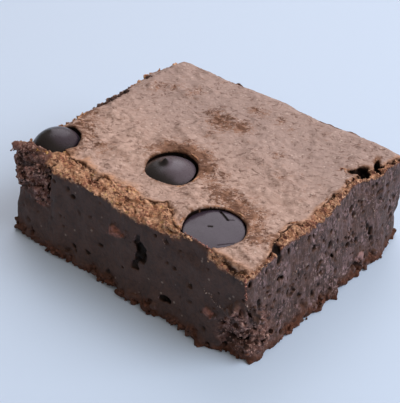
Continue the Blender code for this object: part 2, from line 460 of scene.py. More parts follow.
@dataclass
class VoxelBlock:
    """A box of small cells that a solid is worked out in, as distances to its surface."""

    low: Point
    high: Point
    step: float
    axes: list[Array] = field(init=False)
    values: Array = field(init=False)

    def __post_init__(self) -> None:
        """Lay out the places along each axis."""
        counts = [int(round((h - l) / self.step)) + 1 for l, h in zip(self.low, self.high)]
        self.axes = [l + self.step * np.arange(n) for l, n in zip(self.low, counts)]

    def open_axes(self) -> tuple[Array, Array, Array]:
        """The three axes in shapes that broadcast to the whole block."""
        x, y, z = self.axes
        return x[:, None, None], y[None, :, None], z[None, None, :]

    def window(self, centre: Sequence[float], reach: float) -> tuple[slice, ...] | None:
        """The cells within reach of a place.

        Args:
            centre: the place.
            reach: how far to look along each axis.
        Returns:
            One slice for each axis, or None where nothing is in reach.
        """
        spans = []
        for places, middle in zip(self.axes, centre):
            first, last = np.searchsorted(places, (middle - reach, middle + reach))
            if first >= last:
                return None
            spans.append(slice(int(first), int(last)))
        return tuple(spans)

    def ball_distance(self, spans: tuple[slice, ...], centre: Sequence[float], radii: Sequence[float],
                      turn: Matrix) -> Array:
        """Distance to a turned ellipsoid within a window.

        Args:
            spans: the window.
            centre: the ellipsoid's middle.
            radii: its half sizes.
            turn: its turn.
        Returns:
            The distances, negative inside.
        """
        x, y, z = [axis[span] - middle for axis, span, middle in zip(self.axes, spans, centre)]
        rest = [turn.col[k] for k in range(3)]
        local = [x[:, None, None] * c[0] + y[None, :, None] * c[1] + z[None, None, :] * c[2] for c in rest]
        size = np.sqrt(sum((q / r) ** 2 for q, r in zip(local, radii)))
        slope = np.sqrt(sum((q / r**2) ** 2 for q, r in zip(local, radii))) + 1e-6
        return size * (size - 1.0) / slope

    def blob(self, centre: Sequence[float], radii: Sequence[float], turn: Matrix, blend: float,
             ragged: Array | None = None, carve: bool = False) -> None:
        """Add an ellipsoid to the solid, or carve it away.

        Args:
            centre: the ellipsoid's middle.
            radii: its half sizes.
            turn: its turn.
            blend: how softly it joins.
            ragged: a field over the whole block that makes it uneven.
            carve: True to take it away.
        """
        spans = self.window(centre, max(radii) + blend + 2.0 * self.step)
        if spans is None:
            return
        distance = self.ball_distance(spans, centre, radii, turn)
        if ragged is not None:
            distance = distance + ragged[spans]
        part = self.values[spans]
        if carve:
            self.values[spans] = soft_max(part, -distance, blend)
        else:
            self.values[spans] = soft_min(part, distance, blend)

    def skin(self) -> tuple[Array, Array]:
        """The surface where the distances change sign.

        Returns:
            The vertices, and the faces as rows of four vertex numbers.
        """
        inside = self.values < 0.0
        shape = [n - 1 for n in inside.shape]
        filled = np.zeros(shape, np.uint8)
        for corner in itertools.product((0, 1), repeat=3):
            filled += inside[tuple(slice(c, c + n) for c, n in zip(corner, shape))]
        active = (filled > 0) & (filled < 8)
        cells = np.argwhere(active)
        number = np.full(shape, -1, np.int64)
        number[active] = np.arange(len(cells))
        total, crossings = np.zeros((len(cells), 3)), np.zeros(len(cells))
        for axis in range(3):
            for offset in itertools.product((0, 1), repeat=2):
                start = np.insert(np.array(offset), axis, 0)
                along = np.eye(3, dtype=int)[axis]
                a = self.values[tuple((cells + start).T)]
                b = self.values[tuple((cells + start + along).T)]
                crosses = (a < 0.0) != (b < 0.0)
                share = np.where(crosses, a / np.where(crosses, a - b, 1.0), 0.0)
                total += np.where(crosses[:, None], start + share[:, None] * along, 0.0)
                crossings += crosses
        points = np.array(self.low) + self.step * (cells + total / crossings[:, None])
        faces = [self._faces_across(axis, inside, number) for axis in range(3)]
        return points, np.concatenate(faces)

    @staticmethod
    def _faces_across(axis: int, inside: Array, number: Array) -> Array:
        """The faces that cross the grid lines along one axis.

        Args:
            axis: the grid lines' direction.
            inside: which grid points lie in the solid.
            number: the vertex number of each cell.
        Returns:
            Rows of four vertex numbers, wound so that faces point outwards.
        """
        first = [slice(1, -1)] * 3
        second = [slice(1, -1)] * 3
        first[axis], second[axis] = slice(0, -1), slice(1, None)
        here, there = inside[tuple(first)], inside[tuple(second)]
        edges = np.argwhere(here != there)
        leaving = here[tuple(edges.T)]
        base = edges + 1
        base[:, axis] -= 1
        across, up = np.eye(3, dtype=int)[(axis + 1) % 3], np.eye(3, dtype=int)[(axis + 2) % 3]
        around = (across + up, up, 0 * up, across)
        loop = np.stack([number[tuple((base - step).T)] for step in around], axis=1)
        return np.where(leaving[:, None], loop, loop[:, ::-1])


# --- node helpers ----------------------------------------------------------------------------
@dataclass
class NodeBench:
    """Adds and joins the nodes of one tree."""

    tree: bpy.types.NodeTree

    def add(self, kind: str, **settings: Any) -> bpy.types.Node:
        """Add a node.

        Args:
            kind: the node's type.
            settings: its properties.
        Returns:
            The node.
        """
        node = self.tree.nodes.new(kind)
        for name, value in settings.items():
            setattr(node, name, value)
        return node

    def feed(self, socket: bpy.types.NodeSocket, value: Any) -> None:
        """Link another socket to this one, or set a plain value on it."""
        if isinstance(value, bpy.types.NodeSocket):
            self.tree.links.new(value, socket)
        elif isinstance(value, tuple) and len(value) == 3 and socket.type == "RGBA":
            socket.default_value = (*value, 1.0)
        else:
            socket.default_value = value

    def math(self, operation: str, *values: Any) -> bpy.types.NodeSocket:
        """One arithmetic step on numbers or sockets."""
        node = self.add("ShaderNodeMath", operation=operation)
        for socket, value in zip(node.inputs, values):
            self.feed(socket, value)
        return node.outputs[0]

    def vector_math(self, operation: str, *values: Any) -> bpy.types.NodeSocket:
        """One arithmetic step on vectors."""
        node = self.add("ShaderNodeVectorMath", operation=operation)
        for socket, value in zip(node.inputs, values):
            self.feed(socket, value)
        return node.outputs[0]

    def ease(self, value: Any, low: float, high: float) -> bpy.types.NodeSocket:
        """A smooth rise from 0 at low to 1 at high.

        Args:
            value: the socket read.
            low: where the rise starts.
            high: where it ends; below low makes a fall.
        Returns:
            The eased socket.
        """
        falls = low > high
        node = self.add("ShaderNodeMapRange", interpolation_type="SMOOTHSTEP")
        span = (high, low, 1.0, 0.0) if falls else (low, high, 0.0, 1.0)
        for socket, number in zip(node.inputs, (value, *span)):
            self.feed(socket, number)
        return node.outputs[0]

    def mix(self, share: Any, first: Any, second: Any, blend: str = "MIX") -> bpy.types.NodeSocket:
        """Mix two colours.

        Args:
            share: how much of the second, 0 to 1.
            first: the first colour.
            second: the second colour.
            blend: how they join.
        Returns:
            The mixed colour.
        """
        node = self.add("ShaderNodeMix", data_type="RGBA", blend_type=blend)
        self.feed(node.inputs["Factor"], share)
        self.feed(node.inputs[6], first)
        self.feed(node.inputs[7], second)
        return node.outputs[2]

    def noise(self, vector: Any, size: float, detail: float = 2.0, distortion: float = 0.0,
              roughness: float = 0.5) -> bpy.types.NodeSocket:
        """Noise from 0 to 1.

        Args:
            vector: the coordinates read, in metres.
            size: the size of its features in millimetres.
            detail: how many finer layers it has.
            distortion: how far it is swirled.
            roughness: how strong the finer layers are.
        Returns:
            The noise.
        """
        node = self.add("ShaderNodeTexNoise")
        self.feed(node.inputs["Vector"], vector)
        node.inputs["Scale"].default_value = 1.0 / (size * MM)
        node.inputs["Detail"].default_value = detail
        node.inputs["Roughness"].default_value = roughness
        node.inputs["Distortion"].default_value = distortion
        return node.outputs["Fac"]

    def dot(self, vector: Any, direction: Point) -> bpy.types.NodeSocket:
        """How far a vector points along a direction."""
        node = self.add("ShaderNodeVectorMath", operation="DOT_PRODUCT")
        self.feed(node.inputs[0], vector)
        self.feed(node.inputs[1], direction)
        return node.outputs["Value"]

    def scaled(self, vector: Any, factor: Any) -> bpy.types.NodeSocket:
        """A vector times a number."""
        node = self.add("ShaderNodeVectorMath", operation="SCALE")
        self.feed(node.inputs[0], vector)
        self.feed(node.inputs["Scale"], factor)
        return node.outputs[0]

    def stretch(self, vector: Any, factors: Point, turn: float = 0.0) -> bpy.types.NodeSocket:
        """Coordinates turned about Z by radians, then squeezed along each turned axis."""
        node = self.add("ShaderNodeMapping", vector_type="TEXTURE")
        self.feed(node.inputs["Vector"], vector)
        node.inputs["Rotation"].default_value = (0.0, 0.0, turn)
        node.inputs["Scale"].default_value = tuple(1.0 / factor for factor in factors)
        return node.outputs[0]

    def mark(self, mark: Mark) -> bpy.types.NodeSocket:
        """A number that a builder stored on the mesh."""
        return self.add("ShaderNodeAttribute", attribute_name=mark.value).outputs["Fac"]

    def place(self) -> bpy.types.NodeSocket:
        """The place on the piece, in metres."""
        return self.add("ShaderNodeTexCoord").outputs["Object"]

    def use(self, group: bpy.types.NodeTree, **inputs: Any) -> bpy.types.Node:
        """Place a shader group and feed its inputs by name."""
        node = self.add("ShaderNodeGroup", node_tree=group)
        for name, value in inputs.items():
            self.feed(node.inputs[name], value)
        return node


def make_group(name: str, inputs: dict[str, str], outputs: dict[str, str]) -> tuple[Any, ...]:
    """Start a shader group.

    Args:
        name: the group's name.
        inputs: socket types by input name.
        outputs: socket types by output name.
    Returns:
        The tree, its bench, the group input and the group output.
    """
    tree = bpy.data.node_groups.new(name, "ShaderNodeTree")
    for label, kind in inputs.items():
        tree.interface.new_socket(label, in_out="INPUT", socket_type=kind)
    for label, kind in outputs.items():
        tree.interface.new_socket(label, in_out="OUTPUT", socket_type=kind)
    bench = NodeBench(tree)
    return tree, bench, bench.add("NodeGroupInput"), bench.add("NodeGroupOutput")


def make_grain_group() -> bpy.types.NodeTree:
    """The grain that every baked surface has: a coarse and a fine layer.

    Returns:
        A group with Vector and Size (metres) in, and Mask and Height out.
    """
    tree, bench, given, result = make_group(
        "Grain", {"Vector": "NodeSocketVector", "Size": "NodeSocketFloat"},
        {"Mask": "NodeSocketFloat", "Height": "NodeSocketFloat"})
    scale = bench.math("DIVIDE", 1.0, given.outputs["Size"])
    layers = []
    for factor, detail in ((1.0, 3.0), (2.7, 4.0)):
        node = bench.add("ShaderNodeTexNoise")
        bench.feed(node.inputs["Vector"], given.outputs["Vector"])
        bench.feed(node.inputs["Scale"], bench.math("MULTIPLY", scale, factor))
        node.inputs["Detail"].default_value = detail
        node.inputs["Roughness"].default_value = 0.6
        layers.append(node.outputs["Fac"])
    bench.feed(result.inputs["Mask"], bench.ease(layers[0], 0.36, 0.64))
    sum_of_layers = bench.math("ADD", layers[0], bench.math("MULTIPLY", layers[1], 0.6))
    bench.feed(result.inputs["Height"], sum_of_layers)
    return tree


def make_speck_group() -> bpy.types.NodeTree:
    """Sparse small specks, each a rounded dot in its own cell.

    Returns:
        A group with Vector, Size (metres) and Amount in, and Mask out.
    """
    tree, bench, given, result = make_group(
        "Specks", {"Vector": "NodeSocketVector", "Size": "NodeSocketFloat", "Amount": "NodeSocketFloat"},
        {"Mask": "NodeSocketFloat"})
    node = bench.add("ShaderNodeTexVoronoi")
    bench.feed(node.inputs["Vector"], given.outputs["Vector"])
    bench.feed(node.inputs["Scale"], bench.math("DIVIDE", 1.0, given.outputs["Size"]))
    lot = bench.add("ShaderNodeSeparateColor")
    bench.feed(lot.inputs[0], node.outputs["Color"])
    chosen = bench.math("LESS_THAN", lot.outputs[0], given.outputs["Amount"])
    dot = bench.ease(node.outputs["Distance"], 0.42, 0.22)
    bench.feed(result.inputs["Mask"], bench.math("MULTIPLY", chosen, dot))
    return tree


def make_clump_group() -> bpy.types.NodeTree:
    """Crumbs packed side by side: a dome for each, its own lot, and the gaps between them.

    Returns:
        A group with Vector and Size (metres) in, and Lot, Gap and Height out.
    """
    tree, bench, given, result = make_group(
        "Clumps", {"Vector": "NodeSocketVector", "Size": "NodeSocketFloat"},
        {"Lot": "NodeSocketFloat", "Gap": "NodeSocketFloat", "Height": "NodeSocketFloat"})
    scale = bench.math("DIVIDE", 1.0, given.outputs["Size"])
    wobble = bench.add("ShaderNodeTexNoise")
    bench.feed(wobble.inputs["Vector"], given.outputs["Vector"])
    bench.feed(wobble.inputs["Scale"], scale)
    wobble.inputs["Detail"].default_value = 2.0
    centred = bench.vector_math("SUBTRACT", wobble.outputs["Color"], (0.5, 0.5, 0.5))
    shift = bench.scaled(centred, given.outputs["Size"])
    node = bench.add("ShaderNodeTexVoronoi")
    bench.feed(node.inputs["Vector"], bench.vector_math("ADD", given.outputs["Vector"], shift))
    bench.feed(node.inputs["Scale"], scale)
    lot = bench.add("ShaderNodeSeparateColor")
    bench.feed(lot.inputs[0], node.outputs["Color"])
    bench.feed(result.inputs["Lot"], lot.outputs[0])
    bench.feed(result.inputs["Gap"], bench.ease(node.outputs["Distance"], 0.42, 0.74))
    bench.feed(result.inputs["Height"], bench.math("SUBTRACT", 1.0, node.outputs["Distance"]))
    return tree


GRAIN = make_grain_group()
SPECKS = make_speck_group()
CLUMPS = make_clump_group()


# --- finishes ---------------------------------------------------------------------------------
@dataclass(frozen=True)
class Finish:
    """What every finish has: a name, and a way to make its material."""

    name: str

    def start(self) -> tuple[bpy.types.Material, NodeBench, bpy.types.Node]:
        """Begin a material.

        Returns:
            The material, a bench on its tree, and its shader.
        """
        material = bpy.data.materials.new(self.name)
        material.use_nodes = True
        return material, NodeBench(material.node_tree), material.node_tree.nodes["Principled BSDF"]


@dataclass(frozen=True)
class CrumbFinish(Finish):
    """Dense fudgy crumb: dark where the knife ran, grainy where it tore, toasted at the rim, with painted shade in its
    hollows, pits and gaps.
    """

    fudge: Colour = (0.047, 0.024, 0.018)
    fudge_light: Colour = (0.115, 0.062, 0.048)
    # smears on the short cut face: partly their own colour, partly painted sheen
    smear_and_sheen: Colour = (0.225, 0.146, 0.150)
    foot: Colour = (0.070, 0.027, 0.016)
    foot_light: Colour = (0.150, 0.062, 0.040)
    torn: Colour = (0.175, 0.075, 0.065)
    torn_light: Colour = (0.600, 0.370, 0.315)
    toasted: Colour = (0.480, 0.215, 0.115)
    toasted_light: Colour = (0.820, 0.490, 0.310)
    golden: Colour = (0.760, 0.500, 0.200)
    reddish: Colour = (0.330, 0.105, 0.080)
    # the burnt crumbs' own colour, also used as painted shade in the gaps between crumbs
    scorched_and_gap_shade: Colour = (0.045, 0.018, 0.012)
    chunk: Colour = (0.260, 0.108, 0.078)
    chunk_dull: Colour = (0.310, 0.190, 0.185)
    pale: Colour = (0.360, 0.270, 0.220)
    # painted shade colour for pores, holes, cracks, chip pockets and the torn crumb's pits
    deep: Colour = (0.008, 0.004, 0.003)
    cut_roughness: float = 0.50
    broken_roughness: float = 0.85

    def make(self) -> bpy.types.Material:
        """Build the material."""
        material, bench, shader = self.start()
        place = bench.place()
        grain = bench.use(GRAIN, Vector=place, Size=0.6 * MM)
        clumps = bench.use(CLUMPS, Vector=place, Size=0.6 * MM)
        lot = clumps.outputs["Lot"]
        crumbs = bench.use(CLUMPS, Vector=place, Size=0.34 * MM)
        rim, foot, torn = (bench.mark(mark) for mark in (Mark.RIM, Mark.FOOT, Mark.TORN))
        loose = bench.math("MAXIMUM", bench.math("MAXIMUM", foot, torn), rim)
        face, drag = self._cut_face(bench, place, grain.outputs["Mask"])

        colour = bench.mix(foot, face, bench.mix(lot, self.foot, self.foot_light))
        sparse = bench.math("MULTIPLY_ADD", bench.math("POWER", lot, 2.0), 0.5,
                            bench.math("MULTIPLY", bench.math("POWER", crumbs.outputs["Lot"], 3.0), 0.7))
        broken = bench.mix(sparse, self.torn, self.torn_light)
        # painted shade in small pits of the torn crumb
        pits = bench.ease(bench.noise(place, 1.3, 4.0, 0.6, 0.6), 0.48, 0.41)
        broken = bench.mix(bench.math("MULTIPLY", pits, 0.92), broken, self.deep)
        level = bench.add("ShaderNodeSeparateXYZ")
        bench.feed(level.inputs[0], place)
        lower = bench.math("MULTIPLY", bench.ease(level.outputs[2], 9.0 * MM, 5.0 * MM), 0.5)
        broken = bench.mix(lower, broken, self.fudge)
        colour = bench.mix(torn, colour, broken)
        chunk = bench.mix(grain.outputs["Mask"], scaled_colour(self.chunk, 0.6), scaled_colour(self.chunk, 1.3))
        side = bench.add("ShaderNodeSeparateXYZ")
        bench.feed(side.inputs[0], place)
        short_side = bench.ease(side.outputs[0], 26.0 * MM, 27.0 * MM)
        chunk = bench.mix(bench.math("MULTIPLY", short_side, 0.75), chunk, self.chunk_dull)
        colour = bench.mix(bench.mark(Mark.CHUNK), colour, chunk)
        colour = bench.mix(rim, colour, self._rim(bench, place))
        # painted shade in the gaps between the loose crumbs
        gaps = bench.math("MULTIPLY", clumps.outputs["Gap"], loose)
        colour = bench.mix(bench.math("MULTIPLY", gaps, 0.4), colour, self.scorched_and_gap_shade)
        # painted shade in the hollows: pores, holes, cracks and chip pockets
        colour = bench.mix(bench.mark(Mark.HOLLOW_SHADE), colour, self.deep)
        bench.feed(shader.inputs["Base Color"], colour)

        spread = self.broken_roughness - self.cut_roughness
        rough = bench.math("MULTIPLY_ADD", loose, spread, self.cut_roughness)
        rough = bench.math("MULTIPLY_ADD", grain.outputs["Mask"], 0.12, rough)
        bench.feed(shader.inputs["Roughness"], rough)
        shader.inputs["Specular IOR Level"].default_value = 0.32

        relief = bench.math("ADD", drag, grain.outputs["Height"])
        domes = bench.math("MULTIPLY", clumps.outputs["Height"], loose)
        relief = bench.math("MULTIPLY_ADD", domes, 1.1, relief)
        bump = bench.add("ShaderNodeBump")
        bump.inputs["Strength"].default_value = 0.8
        bump.inputs["Distance"].default_value = 0.17 * MM
        bench.feed(bump.inputs["Height"], relief)
        bench.feed(shader.inputs["Normal"], bump.outputs[0])
        return material

    def _cut_face(self, bench: NodeBench, place: Any, grain: Any) -> tuple[Any, Any]:
        """The knife's faces: mottled fudge, with smears along the knife's path on the short face, partly painted sheen
        there, and painted shade in its pits.

        Args:
            bench: the material's bench.
            place: the coordinates read.
            grain: the fine mask.
        Returns:
            The colour, and the height that the knife's drag adds.
        """
        broad = bench.noise(place, 3.2, 3.0)
        side = bench.add("ShaderNodeSeparateXYZ")
        bench.feed(side.inputs[0], bench.add("ShaderNodeNewGeometry").outputs["Normal"])
        short_face = bench.ease(side.outputs[0], 0.5, 0.9)
        lines = bench.noise(bench.stretch(place, (1.0, 1.0, 0.2)), 0.42, 3.0, 0.25)
        smears = bench.noise(bench.stretch(place, (1.0, 1.0, 0.42)), 1.5, 3.0, 0.5)
        tone = bench.math("MULTIPLY_ADD", grain, 0.42, bench.math("MULTIPLY", bench.ease(broad, 0.3, 0.7), 0.42))
        colour = bench.mix(tone, self.fudge, self.fudge_light)
        # the knife's smears and streaks on the short face, their colour partly the face's own and partly a painted
        # sheen
        smear = bench.math("MULTIPLY", short_face, bench.ease(smears, 0.46, 0.68))
        colour = bench.mix(bench.math("MULTIPLY", smear, 0.42), colour, self.smear_and_sheen)
        streak = bench.math("MULTIPLY", short_face, bench.ease(lines, 0.56, 0.70))
        colour = bench.mix(bench.math("MULTIPLY", streak, 0.30), colour, self.smear_and_sheen)
        fine = bench.noise(bench.stretch(place, (1.0, 1.0, 0.7)), 0.5, 4.0, 0.5, 0.65)
        open_crumb = bench.ease(bench.noise(bench.stretch(place, (1.0, 1.0, 0.8)), 3.4, 3.0, 0.4), 0.40, 0.62)
        rough_part = bench.math("MULTIPLY", short_face, bench.math("MULTIPLY_ADD", open_crumb, 0.75, 0.25))
        light = bench.math("MULTIPLY", rough_part, bench.ease(fine, 0.53, 0.63))
        colour = bench.mix(bench.math("MULTIPLY", light, 0.9), colour, scaled_colour(self.smear_and_sheen, 1.45))
        # painted shade: dark pits and spots in the rough parts of the short face
        dark = bench.math("MULTIPLY", rough_part, bench.ease(fine, 0.46, 0.39))
        colour = bench.mix(bench.math("MULTIPLY", dark, 0.95), colour, scaled_colour(self.fudge, 0.3))
        pitted = bench.noise(bench.stretch(place, (1.0, 1.0, 0.8)), 0.95, 4.0, 0.6, 0.6)
        pits = bench.math("MULTIPLY", rough_part, bench.ease(pitted, 0.42, 0.35))
        colour = bench.mix(bench.math("MULTIPLY", pits, 0.85), colour, scaled_colour(self.fudge, 0.25))
        specks = bench.use(SPECKS, Vector=place, Size=0.75 * MM, Amount=0.04)
        colour = bench.mix(bench.math("MULTIPLY", specks.outputs["Mask"], 0.55), colour, self.pale)
        drag = bench.math("MULTIPLY", bench.math("MULTIPLY", lines, short_face), 1.3)
        return colour, drag

    def _rim(self, bench: NodeBench, place: Any) -> bpy.types.NodeSocket:
        """The toasted rim: fine crumbs, each its own tan, with golden, reddish and burnt ones, and painted shade in
        the gaps and pits between them.

        Args:
            bench: the material's bench.
            place: the coordinates read.
        Returns:
            The colour.
        """
        fine = bench.use(CLUMPS, Vector=place, Size=0.4 * MM)
        lot = fine.outputs["Lot"]
        side = bench.add("ShaderNodeSeparateXYZ")
        bench.feed(side.inputs[0], place)
        short_side = bench.ease(side.outputs[0], 22.5 * MM, 24.5 * MM)
        drawn = bench.stretch(place, (0.5, 1.25, 1.1), -0.1)
        patch = bench.ease(bench.noise(drawn, 1.3, 4.0, 0.3, 0.65), 0.36, 0.64)
        share = bench.math("MULTIPLY_ADD", lot, 0.22, bench.math("MULTIPLY", patch, 0.78))
        colour = bench.mix(share, self.toasted, self.toasted_light)
        for low, high, tint in ((0.94, 0.96, self.golden), (0.10, 0.07, self.reddish), (0.04, 0.02, self.scorched_and_gap_shade)):
            colour = bench.mix(bench.math("MULTIPLY", bench.ease(lot, low, high), 0.7), colour, tint)
        bright = bench.math("MULTIPLY", bench.ease(lot, 0.80, 0.84), short_side)
        # painted shade in the gaps between the rim's crumbs
        colour = bench.mix(bench.math("MULTIPLY", fine.outputs["Gap"], 0.12), colour, self.scorched_and_gap_shade)
        colour = bench.mix(bench.math("MULTIPLY", short_side, 0.40), colour, scaled_colour(self.toasted, 0.5))
        colour = bench.mix(bench.math("MULTIPLY", bright, 0.8), colour, self.toasted_light)
        dusky = bench.ease(bench.noise(drawn, 2.4, 4.0, 0.5, 0.6), 0.52, 0.66)
        colour = bench.mix(bench.math("MULTIPLY", dusky, 0.6), colour, scaled_colour(self.reddish, 0.75))
        # painted shade in the rim's pits
        pitted = bench.math("MULTIPLY_ADD", short_side, -0.065, bench.noise(drawn, 0.75, 4.0, 0.6, 0.6))
        pits = bench.ease(pitted, 0.45, 0.37)
        colour = bench.mix(bench.math("MULTIPLY", pits, 0.88), colour, scaled_colour(self.reddish, 0.25))
        low_edge = bench.ease(bench.mark(Mark.RIM), 0.97, 0.55)
        return bench.mix(bench.math("MULTIPLY", low_edge, 0.75), colour, scaled_colour(self.reddish, 0.45))


def scaled_colour(colour: Colour, factor: float) -> Colour:
    """A colour made lighter or darker by a factor."""
    return tuple(min(1.0, channel * factor) for channel in colour)


@dataclass(frozen=True)
class CrustFinish(Finish):
    """Papery baked crust: dusty pink-tan, creased and flecked, toasted in patches, with painted shade in its creases
    and wrinkle troughs and painted cooler light on the far side.
    """

    dusty: Colour = (0.365, 0.230, 0.180)
    dusty_light: Colour = (0.705, 0.500, 0.420)
    # dark flecks: partly the crust's own flecks, partly painted shade in the wrinkles' troughs and creases
    fleck_shade: Colour = (0.165, 0.088, 0.062)
    toasted: Colour = (0.085, 0.031, 0.016)
    toasted_light: Colour = (0.310, 0.150, 0.086)
    speck: Colour = (0.780, 0.620, 0.540)
    edge: Colour = (0.220, 0.110, 0.066)
    baked_rim: Colour = (0.600, 0.315, 0.180)
    # painted light: the far side greyer, as under cooler light
    painted_far_light: Colour = (0.385, 0.288, 0.266)

    def make(self) -> bpy.types.Material:
        """Build the material."""
        material, bench, shader = self.start()
        place = bench.place()
        grain = bench.use(GRAIN, Vector=place, Size=0.9 * MM)
        broad = bench.noise(place, 4.5, 3.0)
        patches = bench.ease(bench.noise(place, 1.7, 4.0, 0.5, 0.6), 0.36, 0.64)
        tone = bench.math("MULTIPLY_ADD", grain.outputs["Mask"], 0.3, bench.math("MULTIPLY", broad, 0.4))
        tone = bench.math("MULTIPLY_ADD", patches, 0.3, tone)
        colour = bench.mix(tone, self.dusty, self.dusty_light)
        sides = bench.add("ShaderNodeSeparateXYZ")
        bench.feed(sides.inputs[0], place)
        far_side = bench.ease(sides.outputs[1], -12.0 * MM, 14.0 * MM)
        # painted light: the crust greyer towards the far side
        colour = bench.mix(bench.math("MULTIPLY", far_side, 0.6), colour, self.painted_far_light)
        ragged = bench.ease(bench.noise(place, 1.4, 3.0, 0.4), 0.38, 0.62)
        rim = bench.math("MULTIPLY", bench.mark(Mark.RIM), bench.math("MULTIPLY_ADD", ragged, 0.4, 0.6))
        colour = bench.mix(rim, colour, self.baked_rim)
        baked = self._baked(bench, place)
        colour = bench.mix(bench.math("MULTIPLY", baked, 0.85), colour, self.toasted_light)
        burnt = bench.math("ADD", bench.mark(Mark.TOAST), bench.noise(place, 0.7, 3.0, 0.5, 0.7))
        char = bench.math("MULTIPLY", baked, bench.ease(burnt, 1.55, 1.95))
        colour = bench.mix(bench.math("MULTIPLY", char, 0.42), colour, self.toasted)

        wrinkled = bench.stretch(place, (0.78, 1.2, 1.0), 0.6)
        wrinkles = bench.noise(wrinkled, 0.95, 4.0, 0.5, 0.62)
        sparse = bench.math("MULTIPLY_ADD", bench.noise(place, 5.5, 2.0), 0.40, -0.18)
        calm = bench.math("MULTIPLY_ADD", far_side, 0.035, bench.math("ADD", wrinkles, sparse))
        denser = bench.math("MULTIPLY_ADD", baked, -0.13, calm)
        # dark flecks where the wrinkles' bump is lowest: the crust's own flecks and painted shade in the troughs
        fleck_shade = bench.ease(denser, 0.455, 0.345)
        dark = bench.mix(baked, self.fleck_shade, self.toasted)
        colour = bench.mix(bench.math("MULTIPLY", fleck_shade, 0.7), colour, dark)
        crease = self._creases(bench, wrinkled, place)
        # painted shade along the creases
        colour = bench.mix(bench.math("MULTIPLY", crease, 0.62), colour, self.fleck_shade)
        specks = bench.use(SPECKS, Vector=place, Size=0.62 * MM, Amount=0.10)
        colour = bench.mix(bench.math("MULTIPLY", specks.outputs["Mask"], 0.5), colour, self.speck)
        near_edge = bench.math("MULTIPLY", bench.mark(Mark.EDGE), bench.ease(bench.noise(place, 1.1, 2.0), 0.35, 0.6))
        colour = bench.mix(near_edge, colour, self.edge)
        bench.feed(shader.inputs["Base Color"], colour)

        rough = bench.math("MULTIPLY_ADD", grain.outputs["Mask"], 0.15, 0.68)
        bench.feed(shader.inputs["Roughness"], rough)
        shader.inputs["Specular IOR Level"].default_value = 0.35
        relief = bench.math("MULTIPLY_ADD", wrinkles, 1.6, bench.math("MULTIPLY", grain.outputs["Height"], 0.5))
        relief = bench.math("MULTIPLY_ADD", crease, -0.35, relief)
        bump = bench.add("ShaderNodeBump")
        bump.inputs["Strength"].default_value = 0.85
        bump.inputs["Distance"].default_value = 0.32 * MM
        bench.feed(bump.inputs["Height"], relief)
        bench.feed(shader.inputs["Normal"], bump.outputs[0])
        return material

    @staticmethod
    def _baked(bench: NodeBench, place: Any) -> bpy.types.NodeSocket:
        """How toasted the skin is, with ragged borders.

        Args:
            bench: the material's bench.
            place: the coordinates read.
        Returns:
            Numbers from 0 to 1.
        """
        drawn = bench.stretch(place, (0.68, 1.25, 1.0), 0.6)
        patchy = bench.math("MULTIPLY_ADD", bench.noise(drawn, 1.0, 5.0, 0.5, 0.75), 3.2, -1.6)
        grainy = bench.math("MULTIPLY_ADD", bench.noise(place, 0.42, 3.0, 0.5, 0.7), 4.2, -2.1)
        grainy = bench.math("MULTIPLY", grainy, bench.ease(bench.mark(Mark.TOAST), 0.0, 0.7))
        total = bench.math("ADD", bench.mark(Mark.TOAST), bench.math("ADD", patchy, grainy))
        return bench.ease(total, 0.08, 1.05)

    @staticmethod
    def _creases(bench: NodeBench, wrinkled: Any, place: Any) -> bpy.types.NodeSocket:
        """Short curved creases, which the finish darkens with painted shade.

        Args:
            bench: the material's bench.
            wrinkled: the stretched coordinates that the creases follow.
            place: the plain coordinates, which break the creases up.
        Returns:
            Numbers from 0 to 1.
        """
        field_values = bench.noise(wrinkled, 2.1, 2.0, 0.8)
        away = bench.math("ABSOLUTE", bench.math("SUBTRACT", field_values, 0.5))
        line = bench.ease(away, 0.030, 0.008)
        return bench.math("MULTIPLY", line, bench.ease(bench.noise(place, 1.6, 2.0), 0.50, 0.62))


@dataclass(frozen=True)
class ChocolateFinish(Finish):
    """Dark chocolate with a satin skin; what faces up is lighter, partly its own whitish film and partly a painted
    highlight.
    """

    cocoa: Colour = (0.0065, 0.0035, 0.0045)
    bloom_and_highlight: Colour = (0.070, 0.051, 0.075)
    # painted shade in the chips' grooves
    line: Colour = (0.003, 0.002, 0.002)
    bloom_and_highlight_share: float = 0.3
    roughness: float = 0.30

    def make(self) -> bpy.types.Material:
        """Build the material."""
        material, bench, shader = self.start()
        place = bench.place()
        # painted highlight: the chips lighter where they face up, mixed with the chocolate's own whitish film
        facing = bench.dot(bench.add("ShaderNodeNewGeometry").outputs["Normal"], (0.25, 0.35, 0.9))
        bloom_and_highlight_mask = bench.math("MULTIPLY_ADD", bench.noise(place, 2.6, 3.0), 0.6, bench.ease(facing, 0.55, 0.98))
        share = bench.math("MULTIPLY", bench.ease(bloom_and_highlight_mask, 0.35, 1.35), self.bloom_and_highlight_share)
        grain = bench.use(GRAIN, Vector=place, Size=0.8 * MM)
        colour = bench.mix(share, self.cocoa, self.bloom_and_highlight)
        # painted shade in the grooves
        bench.feed(shader.inputs["Base Color"], bench.mix(bench.mark(Mark.HOLLOW_SHADE), colour, self.line))
        rough = bench.math("MULTIPLY_ADD", grain.outputs["Mask"], 0.08, self.roughness)
        bench.feed(shader.inputs["Roughness"], rough)
        shader.inputs["Specular IOR Level"].default_value = 0.5
        bump = bench.add("ShaderNodeBump")
        bump.inputs["Strength"].default_value = 0.15
        bump.inputs["Distance"].default_value = 0.05 * MM
        bench.feed(bump.inputs["Height"], grain.outputs["Height"])
        bench.feed(shader.inputs["Normal"], bump.outputs[0])
        return material


